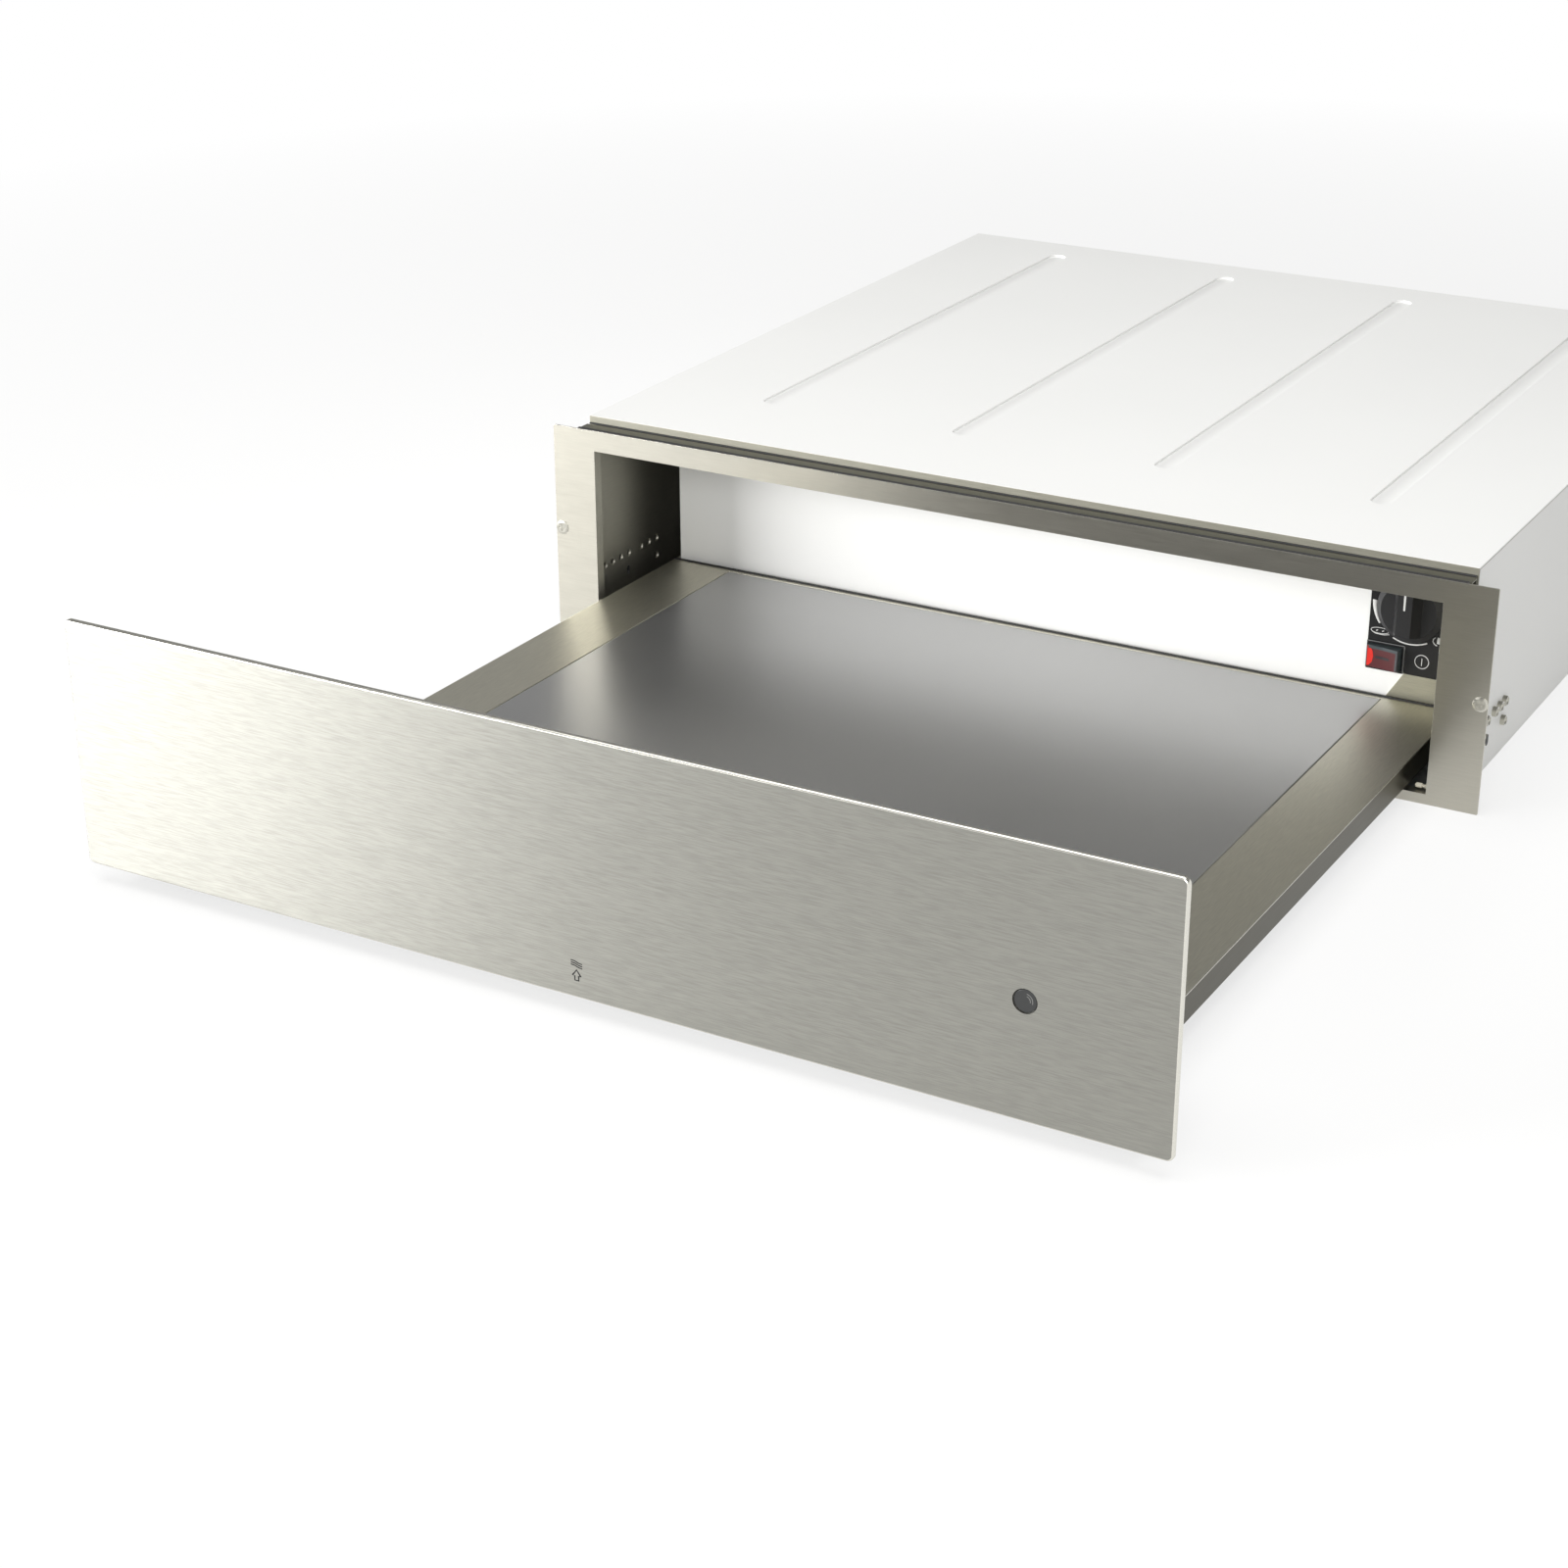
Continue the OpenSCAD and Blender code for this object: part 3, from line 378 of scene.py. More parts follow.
@dataclass(frozen=True)
class FibreMat(Finish):
    """Needled mineral felt: pressed threads with a soft, dry surface."""

    thread: float = 1.2

    def make(self) -> bpy.types.Material:
        """Builds the felt.

        Returns:
            A dry, uneven fabric.
        """
        surface = Surface(self.name)
        wave = surface.noise(PER_METRE / self.thread, 5.0, extra={"Distortion": 1.5})
        return surface.principled({
            "Base Color": surface.tone(self.colour, surface.line(wave, 0.5, 0.72)),
            "Roughness": self.roughness, "Normal": surface.bump(0.6, 0.4, wave),
            "Sheen Weight": 0.3,
        })


@dataclass(frozen=True)
class PadPrint(Finish):
    """Pad-printed ink: a flat film with slightly ragged cover."""

    def make(self) -> bpy.types.Material:
        """Builds the ink.

        Returns:
            A nearly even ink film.
        """
        surface = Surface(self.name)
        speck = surface.noise(1800.0, 2.0)
        return surface.principled({
            "Base Color": surface.tone(self.colour, surface.line(speck, 0.18, 0.9)),
            "Roughness": self.roughness,
        })


class Finishes:
    """Every finish on the drawer, made once and looked up by what it is."""

    def __init__(self) -> None:
        """Builds the materials."""
        plan: dict[str, Finish] = {
            "panel": BrushedStainless("brushed_stainless_panel", "#a5a49d", 0.385,
                                      anisotropy=0.95),
            # A lighter copy of the stainless for eased edges and folds: a painted highlight.
            "rim": BrushedStainless("stainless_edge_painted_highlight", "#dddbd2", 0.26, contrast=0.03,
                                    anisotropy=0.3, scratch_depth=0.02),
            "frame": BrushedStainless("brushed_stainless_frame", "#b9b6ab", 0.30, contrast=0.03,
                                      anisotropy=0.8, scratch_depth=0.003),
            "channel": BrushedStainless("brushed_stainless_channel", "#77766b", 0.46,
                                        contrast=0.06, anisotropy=0.4),
            # A darker brushed copy for the roof's front fold: painted shade for the gap behind the
            # channel.
            "roof_fold": BrushedStainless("brushed_roof_fold_painted_shade", "#a09e92", 0.52,
                                          contrast=0.06, anisotropy=0.3),
            "tray": BrushedStainless("brushed_stainless_tray", "#cac7b9", 0.42,
                                     grain=Grain.ALONG_Y, contrast=0.07, anisotropy=0.4),
            "liner": Moulding("black_filled_polypropylene", "#2c2d2e", 0.6),
            # A darker copy of the tray's stainless for its sides: painted shade.
            "skirt": BrushedStainless("brushed_stainless_tray_skirt_painted_shade", "#57554b", 0.38,
                                      grain=Grain.ALONG_Y, contrast=0.07),
            "plate": BrushedStainless("brushed_stainless_control_plate", "#c4c1ae", 0.50,
                                      contrast=0.07, anisotropy=0.4),
            "wall": BrushedStainless("annealed_steel_side_wall", "#b6b4a8", 0.50,
                                     grain=Grain.ALONG_Y, contrast=0.04, anisotropy=0.2),
            "coated": CoatedSheet("coil_coated_sheet", "#ececea", 0.5),
            "galvanised": SpangledZinc("galvanised_sheet", "#c9cbcc", 0.42),
            "zinc": SpangledZinc("zinc_plated_steel", "#bfc2c6", 0.28, crystal=2.0,
                                 metallic=1.0),
            "screw": SpangledZinc("turned_stainless_screw", "#c2c0b6", 0.34, crystal=1.5,
                                  metallic=1.0),
            "pale": CoatedSheet("powder_coated_box_front", "#f6f6f4", 0.45, peel=1.4),
            "glass": SatinGlass("etched_glass_deck", "#b0b0b0", 0.32),
            "black_gloss": Moulding("gloss_black_polycarbonate", "#232324", 0.24, coat=0.3),
            "black_abs": Moulding("black_abs_knob", "#29292a", 0.34, relief=0.08, coat=0.2),
            # The knob's skirt: eroded and duller, and lighter grey as a painted reflection.
            "skirt_abs": Moulding("eroded_abs_knob_skirt_painted_reflection", "#3c3c3e", 0.55, relief=0.12),
            # A grey line on the bezel's edges: a painted highlight.
            "bezel_bead": Moulding("grey_painted_bezel_highlight", "#7b7c7c", 0.4),
            # Black polyamide parts, and also painted shade behind the vents and in the wall's dimple.
            "black_matt": Moulding("black_polyamide_and_painted_shade", "#2a2a2b", 0.55, relief=0.12),
            # A bright red for the rocker's left end: a painted highlight.
            "red_lens": Moulding("red_polycarbonate_painted_highlight", "#e8352c", 0.25, coat=0.3,
                                 see_through=0.1),
            "red_rocker": Moulding("red_polycarbonate_rocker", "#562325", 0.38, coat=0.1),
            # Grey-teal for the rocker: painted reflection on its top, painted shade on its right side.
            "rocker_flank": Moulding("red_rocker_painted_reflection_and_shade", "#454f52", 0.3, coat=0.3),
            "smoked": Moulding("smoked_lamp_lens", "#262727", 0.42),
            "nylon": Moulding("natural_polyamide", "#cfcab9", 0.45, relief=0.06),
            "ceramic": Moulding("pale_terminal_polyamide", "#ece9df", 0.5, relief=0.06),
            # Silicone for the panel's real seal, and also the dark strips in gaps that are painted
            # shade.
            "rubber": Moulding("silicone_seal_and_painted_gap_shade", "#2b2b2c", 0.62, relief=0.1),
            "heater": BrushedStainless("heat_tinted_tube", "#6f675e", 0.38,
                                       grain=Grain.ALONG_Y, contrast=0.2, anisotropy=0.0),
            "brass": SpangledZinc("rolled_brass_strip", "#c8b068", 0.34, crystal=4.0,
                                  metallic=1.0),
            "felt": FibreMat("needled_mineral_felt", "#ddd8c8", 0.95),
            "white_ink": PadPrint("white_pad_print", "#dededc", 0.5),
            # Light arcs on the lens's moulded rings: painted highlights.
            "grey_ink": PadPrint("grey_painted_lens_ring_highlight", "#6a6a68", 0.55),
            "symbol_ink": PadPrint("charcoal_pad_print", "#111111", 0.7),
            "dark_ink": PadPrint("dark_pad_print", "#2b2b2e", 0.45),
        }
        self._made = {key: finish.make() for key, finish in plan.items()}

    def __getitem__(self, key: str) -> bpy.types.Material:
        """Returns the material of that finish."""
        return self._made[key]


def box_mm(node: str) -> tuple[Vector, Vector]:
    """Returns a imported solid's lowest and highest corners in millimetres."""
    low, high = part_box(node)
    return low / MM, high / MM


def object_from_mesh(name: str, mesh: bpy.types.Mesh, material: bpy.types.Material) -> Piece:
    """Links a mesh into the scene as a piece with one material.

    Args:
        name: the piece's name.
        mesh: its mesh, in metres, at its place.
        material: its finish.

    Returns:
        The new object.
    """
    mesh.materials.clear()
    mesh.materials.append(material)
    piece = bpy.data.objects.new(name, mesh)
    bpy.context.scene.collection.objects.link(piece)
    return piece


def object_from_work(name: str, work: bmesh.types.BMesh, material: bpy.types.Material) -> Piece:
    """Ends a mesh under construction and links it into the scene.

    Args:
        name: the piece's name.
        work: the mesh under construction, in metres.
        material: its finish.

    Returns:
        The new object.
    """
    mesh = bpy.data.meshes.new(name)
    work.to_mesh(mesh)
    work.free()
    return object_from_mesh(name, mesh, material)


def settle(piece: Piece) -> Piece:
    """Turns a piece's modifiers into plain mesh.

    Args:
        piece: an object with modifiers.

    Returns:
        The same object, with its evaluated mesh and no modifiers.
    """
    bpy.context.view_layer.update()
    graph = bpy.context.evaluated_depsgraph_get()
    mesh = bpy.data.meshes.new_from_object(piece.evaluated_get(graph))
    mesh.name = piece.name
    piece.modifiers.clear()
    piece.data = mesh
    return piece


def shade(piece: Piece, sharp: float) -> None:
    """Shades a piece smoothly, with its flat faces kept flat and its sharp edges kept sharp.

    Args:
        piece: the piece.
        sharp: edges above this many degrees stay sharp.
    """
    piece.data.polygons.foreach_set("use_smooth", [True] * len(piece.data.polygons))
    piece.data.set_sharp_from_angle(angle=math.radians(sharp))
    weight = piece.modifiers.new("weight", "WEIGHTED_NORMAL")
    weight.weight = 100
    weight.keep_sharp = True
    settle(piece)


def ease_edges(piece: Piece, radius: float, segments: int) -> None:
    """Rounds the sharp edges of a piece.

    Args:
        piece: the piece, whose mesh is closed.
        radius: the rounding in millimetres.
        segments: faces across each rounded edge.
    """
    bevel = piece.modifiers.new("ease", "BEVEL")
    bevel.width = radius * MM
    bevel.segments = segments
    bevel.limit_method = "ANGLE"
    bevel.angle_limit = math.radians(EASED_ABOVE)
    bevel.miter_outer = "MITER_ARC"
    settle(piece)
    shade(piece, SHARP_ABOVE)


class Relief:
    """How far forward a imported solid's front reaches at each place."""

    def __init__(self, frame: Mapping[str, object], node: str) -> None:
        """Reads the solid.

        Args:
            node: the solid's name.
        """
        mesh = frame["nodes"][node].data
        self._tree = BVHTree.FromPolygons([v.co for v in mesh.vertices],
                                          [p.vertices for p in mesh.polygons])

    def front(self, x: float, z: float) -> float:
        """Returns the front's Y at a place, all in millimetres."""
        hit = self._tree.ray_cast(Vector((x * MM, -2.0, z * MM)), Vector((0.0, 1.0, 0.0)))
        return hit[0].y / MM


def prism(work: bmesh.types.BMesh, outline: Sequence[Point2], fronts: Sequence[float],
          backs: Sequence[float]) -> None:
    """Adds a flat prism drawn in X and Z.

    Args:
        work: the mesh that gets it.
        outline: its corners in millimetres, counter-clockwise seen from the front.
        fronts: each corner's front Y, in millimetres.
        backs: each corner's back Y, in millimetres.
    """
    front = [work.verts.new((x * MM, y * MM, z * MM)) for (x, z), y in zip(outline, fronts)]
    back = [work.verts.new((x * MM, y * MM, z * MM)) for (x, z), y in zip(outline, backs)]
    work.faces.new(front)
    work.faces.new(list(reversed(back)))
    count = len(outline)
    for i in range(count):
        j = (i + 1) % count
        work.faces.new([front[j], front[i], back[i], back[j]])


def box_outline(low: Sequence[float], high: Sequence[float]) -> list[Point2]:
    """Returns a box's outline in X and Z, counter-clockwise seen from the front."""
    return [(low[0], low[2]), (high[0], low[2]), (high[0], high[2]), (low[0], high[2])]


def ribbon(points: Sequence[Point2], width: float, closed: bool) -> list[list[Point2]]:
    """Turns a stroke into quads.

    Args:
        points: the stroke's middle line.
        width: its width.
        closed: whether the last point joins the first.

    Returns:
        A list of four-cornered outlines.
    """
    count = len(points)
    sides: list[tuple[Point2, Point2]] = []
    for i, (x, z) in enumerate(points):
        before = points[i - 1] if closed or i else points[i]
        after = points[(i + 1) % count] if closed or i < count - 1 else points[i]
        dx, dz = after[0] - before[0], after[1] - before[1]
        half = width / 2 / math.hypot(dx, dz)
        sides.append(((x - dz * half, z + dx * half), (x + dz * half, z - dx * half)))
    quads = []
    for i in range(count if closed else count - 1):
        a, b = sides[i], sides[(i + 1) % count]
        quads.append([a[1], b[1], b[0], a[0]])
    return quads


def arc_path(centre: Point2, radii: Point2, start: float, sweep: float, steps: int) -> list[Point2]:
    """Returns points along an arc.

    Args:
        centre: the arc's centre.
        radii: its half width and half height.
        start: its first angle in degrees.
        sweep: how many degrees it turns, counter-clockwise.
        steps: how many steps it takes. A full turn leaves out the point that it began with.

    Returns:
        The path's points.
    """
    count = steps if sweep >= 360.0 else steps + 1
    angles = [math.radians(start + sweep * i / steps) for i in range(count)]
    return [(centre[0] + radii[0] * math.cos(a), centre[1] + radii[1] * math.sin(a))
            for a in angles]


def round_rect_path(w: float, h: float, r: float, steps: int = 8) -> list[Point2]:
    """Returns a round-cornered rectangle about the origin, counter-clockwise.

    Args:
        w: its width.
        h: its height.
        r: its corner radius.
        steps: segments in each corner.

    Returns:
        The path's points.
    """
    path: list[Point2] = []
    for k, (sx, sz) in enumerate(((1, -1), (1, 1), (-1, 1), (-1, -1))):
        path += arc_path((sx * (w / 2 - r), sz * (h / 2 - r)), (r, r), 90.0 * (k - 1), 90.0, steps)
    return path


@dataclass
class Mark:
    """Thin printed marks on a face that looks to the front, also used for painted highlights,
    reflections and shade.
    """

    name: str
    face_y: float
    film: float = 0.04
    sink: float = 0.01
    relief: Optional[Relief] = None

    def __post_init__(self) -> None:
        """Opens the mesh that the strokes go into."""
        self._work = bmesh.new()

    def stroke(self, points: Sequence[Point2], width: float, closed: bool = False) -> None:
        """Adds a line of even width, open or closed, drawn in X and Z in millimetres."""
        for quad in ribbon(points, width, closed):
            self.patch(quad)

    def patch(self, outline: Sequence[Point2]) -> None:
        """Adds a filled shape, whose corners run counter-clockwise."""
        faces = [self.relief.front(x, z) if self.relief else self.face_y for x, z in outline]
        prism(self._work, outline, [y - self.film for y in faces], [y + self.sink for y in faces])

    def make(self, material: bpy.types.Material) -> Piece:
        """Closes the mesh and returns the printed piece."""
        bmesh.ops.recalc_face_normals(self._work, faces=self._work.faces)
        return object_from_work(self.name, self._work, material)


class PatternTree:
    """A geometry tree that repeats or sweeps something, with named inputs."""

    def __init__(self, name: str, sockets: Mapping[str, tuple[str, object]]) -> None:
        """Opens the tree and its inputs, of which the last is its material.

        Args:
            name: the tree's name.
            sockets: each input's name, with its kind and its value.
        """
        self.tree = bpy.data.node_groups.new(name, "GeometryNodeTree")
        self.tree.interface.new_socket(name="Geometry", in_out="OUTPUT",
                                       socket_type="NodeSocketGeometry")
        self.ids: dict[str, str] = {}
        for label, (kind, value) in {**sockets, "Material": ("Material", None)}.items():
            made = self.tree.interface.new_socket(name=label, in_out="INPUT",
                                                  socket_type="NodeSocket" + kind)
            if value is not None:
                made.default_value = value
            self.ids[label] = made.identifier
        self.source = self.tree.nodes.new("NodeGroupInput")
        self.target = self.tree.nodes.new("NodeGroupOutput")

    def value(self, name: str) -> Socket:
        """Returns the socket of a named input."""
        return self.source.outputs[name]

    def scaled(self, length: Socket, factor: float) -> Socket:
        """Returns a length times a factor."""
        return add_node(self.tree, "ShaderNodeMath", {"operation": "MULTIPLY"},
                        {0: length, 1: factor}).outputs[0]

    def lifted(self, geometry: Socket, rise: Socket) -> Socket:
        """Returns geometry that is moved up by a rise."""
        way = add_node(self.tree, "ShaderNodeCombineXYZ", inputs={"Z": rise}).outputs[0]
        return self.add("Transform", {"Geometry": geometry, "Translation": way})

    def add(self, kind: str, inputs: Mapping[str, Setting], **options: str) -> Socket:
        """Adds a geometry node and returns its first output."""
        return add_node(self.tree, "GeometryNode" + kind, options, inputs).outputs[0]

    def close(self, geometry: Socket) -> None:
        """Ends the tree with real geometry and its material.

        Args:
            geometry: the finished geometry.
        """
        real = self.add("RealizeInstances", {"Geometry": geometry})
        dressed = self.add("SetMaterial", {"Geometry": real, "Material": self.value("Material")})
        self.tree.links.new(dressed, self.target.inputs[0])

    def run(self, name: str, material: bpy.types.Material, values: Mapping[str, object]) -> Piece:
        """Makes a piece from the tree.

        Args:
            name: the piece's name.
            material: its finish.
            values: the inputs that differ from the tree's own.

        Returns:
            The piece as plain mesh.
        """
        piece = object_from_mesh(name, bpy.data.meshes.new(name), material)
        modifier = piece.modifiers.new("pattern", "NODES")
        modifier.node_group = self.tree
        modifier[self.ids["Material"]] = material
        for key, value in values.items():
            modifier[self.ids[key]] = value
        settle(piece)
        return piece


def screw_tree() -> PatternTree:
    """Builds the tree that sets a row or a field of cross-recessed screws.

    Returns:
        The tree, whose inputs are the head's sizes, the counts, the pitches and the first place.
    """
    pattern = PatternTree("cross_recessed_screws", {
        "Head Radius": ("Float", 0.0035),
        "Head Height": ("Float", 0.002),
        "Recess Width": ("Float", 0.0009),
        "Count": ("Int", 2),
        "Pitch": ("Vector", (0.1, 0.0, 0.0)),
        "Rows": ("Int", 1),
        "Row Pitch": ("Vector", (0.0, 0.0, 0.1)),
        "First": ("Vector", (0.0, 0.0, 0.0)),
        "Turn": ("Vector", (math.pi / 2, 0.0, 0.0)),
    })
    tree = pattern.tree
    sides, rim_share, dome_share, dome_top, bar_reach, bar_rise = 28, 0.45, 0.55, 0.72, 1.1, 1.05
    radius, height = pattern.value("Head Radius"), pattern.value("Head Height")
    rim_height = pattern.scaled(height, rim_share)
    rim = pattern.add("MeshCylinder", {"Vertices": sides, "Radius": radius, "Depth": rim_height})
    dome = pattern.add("MeshCone", {
        "Vertices": sides, "Radius Top": pattern.scaled(radius, dome_top),
        "Radius Bottom": radius, "Depth": pattern.scaled(height, dome_share),
    })
    head = add_node(tree, "GeometryNodeMeshBoolean", {"operation": "UNION", "solver": "EXACT"})
    for solid in (pattern.lifted(rim, pattern.scaled(rim_height, 0.5)),
                  pattern.lifted(dome, rim_height)):
        tree.links.new(solid, head.inputs["Mesh 2"])
    recess = add_node(tree, "GeometryNodeMeshBoolean", {"operation": "DIFFERENCE", "solver": "EXACT"},
                      {"Mesh 1": head.outputs["Mesh"]})
    for along, across in (("X", "Y"), ("Y", "X")):
        size = add_node(tree, "ShaderNodeCombineXYZ", inputs={
            along: pattern.scaled(radius, bar_reach), across: pattern.value("Recess Width"),
            "Z": height,
        })
        bar = pattern.lifted(pattern.add("MeshCube", {"Size": size.outputs[0]}),
                             pattern.scaled(height, bar_rise))
        tree.links.new(bar, recess.inputs["Mesh 2"])
    row = pattern.add("MeshLine", {
        "Count": pattern.value("Count"), "Offset": pattern.value("Pitch"),
    }, mode="OFFSET")
    rows = pattern.add("MeshLine", {
        "Count": pattern.value("Rows"), "Start Location": pattern.value("First"),
        "Offset": pattern.value("Row Pitch"),
    }, mode="OFFSET")
    field = pattern.add("InstanceOnPoints", {"Points": rows, "Instance": row})
    points = pattern.add("RealizeInstances", {"Geometry": field})
    pattern.close(pattern.add("InstanceOnPoints", {
        "Points": points, "Instance": recess.outputs["Mesh"], "Rotation": pattern.value("Turn"),
    }))
    return pattern


def arc_tree() -> PatternTree:
    """Builds the tree that sweeps a printed arc round the dial.

    Returns:
        The tree, whose inputs are the arc's radius, angles, end widths and place.
    """
    pattern = PatternTree("printed_arc", {
        "Radius": ("Float", 0.02),
        "Start": ("Float", 0.0),
        "Sweep": ("Float", 1.0),
        "First Width": ("Float", 0.001),
        "Last Width": ("Float", 0.001),
        "Centre": ("Vector", (0.0, 0.0, 0.0)),
    })
    arc = pattern.add("CurveArc", {
        "Resolution": 28, "Radius": pattern.value("Radius"),
        "Start Angle": pattern.value("Start"), "Sweep Angle": pattern.value("Sweep"),
    }, mode="RADIUS")
    width = add_node(pattern.tree, "ShaderNodeMapRange", inputs={
        "Value": pattern.add("SplineParameter", {}), "To Min": pattern.value("First Width"),
        "To Max": pattern.value("Last Width"),
    })
    profile = pattern.add("CurvePrimitiveQuadrilateral", {"Width": 1.0, "Height": 0.05},
                          mode="RECTANGLE")
    swept = pattern.add("CurveToMesh", {
        "Curve": arc, "Profile Curve": profile, "Scale": width.outputs[0], "Fill Caps": True,
    })
    pattern.close(pattern.add("Transform", {
        "Geometry": swept, "Translation": pattern.value("Centre"),
        "Rotation": (math.pi / 2, 0.0, 0.0),
    }))
    return pattern


@dataclass
class Dressing:
    """What every sub-assembly needs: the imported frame, the finishes and the pattern trees."""

    frame: Mapping[str, object]
    finishes: Finishes
    screws: PatternTree
    arcs: PatternTree

    def paint(self, finish: str, *nodes: str) -> None:
        """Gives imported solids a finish.

        Args:
            finish: the finish's key.
            nodes: the solids.
        """
        for node in nodes:
            piece = self.frame["nodes"][node]
            piece.data.materials.clear()
            piece.data.materials.append(self.finishes[finish])
            LOG.info("painted %s with %s", node, self.finishes[finish].name)

    def soften(self, node: str, finish: str, radius: float, body: str, slot: str,
               segments: int = 2) -> Piece:
        """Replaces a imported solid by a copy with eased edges.

        Args:
            node: the solid.
            finish: the finish's key.
            radius: its edge rounding in millimetres, or 0 to leave the edges sharp.
            body: the body that it rides on.
            slot: the record's material slot.
            segments: faces across each rounded edge.

        Returns:
            The copy.
        """
        work = bmesh.new()
        work.from_mesh(self.frame["nodes"][node].data)
        bmesh.ops.remove_doubles(work, verts=work.verts, dist=WELD * MM)
        bmesh.ops.dissolve_limit(work, angle_limit=math.radians(FLAT_BELOW), verts=work.verts,
                                 edges=work.edges)
        piece = object_from_work(node + "_eased", work, self.finishes[finish])
        normals = piece.data.attributes.get("custom_normal")
        if normals:
            piece.data.attributes.remove(normals)
        if radius > 0.0:
            ease_edges(piece, radius, segments)
        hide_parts(node)
        return self.mount(piece, body, slot)

    def refinish(self, piece: Piece, finish: str, rule: FaceRule) -> None:
        """Gives some of a piece's faces another finish.

        Args:
            piece: the piece.
            finish: the other finish's key.
            rule: says whether a face gets it.
        """
        piece.data.materials.append(self.finishes[finish])
        other = len(piece.data.materials) - 1
        for face in piece.data.polygons:
            if rule(face):
                face.material_index = other

    def mount(self, piece: Piece, body: str, slot: str) -> Piece:
        """Puts a finished piece on its body.

        Args:
            piece: the piece.
            body: the body that it rides on.
            slot: not used.

        Returns:
            The same piece.
        """
        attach(piece, body)
        LOG.info("%s rides on %s, %d faces", piece.name, body, len(piece.data.polygons))
        return piece

    def strip(self, name: str, low: Sequence[float], high: Sequence[float], finish: str, body: str,
              slot: str) -> None:
        """Lays a box-shaped strip.

        Args:
            name: the strip's name.
            low: its lowest corner in millimetres.
            high: its highest corner.
            finish: the finish's key.
            body: the body that it rides on.
            slot: the record's material slot.
        """
        work = bmesh.new()
        prism(work, box_outline(low, high), [low[1]] * 4, [high[1]] * 4)
        self.mount(object_from_work(name, work, self.finishes[finish]), body, slot)

    def screw_field(self, name: str, node: str, counts: tuple[int, int], radius: float,
                    body: str) -> None:
        """Sets rows of screws that look to the back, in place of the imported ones.

        Args:
            name: the piece's name.
            node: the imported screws, whose outer ones give the first and last places.
            counts: how many stand in a row, and how many rows there are.
            radius: the heads' radius in millimetres.
            body: the body that they ride on.
        """
        low, high = box_mm(node)
        across = (high.x - low.x - 2 * radius) / (counts[0] - 1)
        up = high.z - low.z - 2 * radius
        piece = self.screws.run(name, self.finishes["zinc"], {
            "Head Radius": radius * MM, "Head Height": (high.y - low.y) * MM, "Count": counts[0],
            "Pitch": (across * MM, 0.0, 0.0), "Rows": counts[1], "Row Pitch": (0.0, 0.0, up * MM),
            "First": ((low.x + radius) * MM, low.y * MM, (low.z + radius) * MM),
            "Turn": (-math.pi / 2, 0.0, 0.0),
        })
        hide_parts(node)
        self.mount(piece, body, "zinc_steel")

    def print_mark(self, mark: Mark, ink: str, body: str, slot: str) -> None:
        """Prints a finished mark on the body that it rides on."""
        self.mount(mark.make(self.finishes[ink]), body, slot)


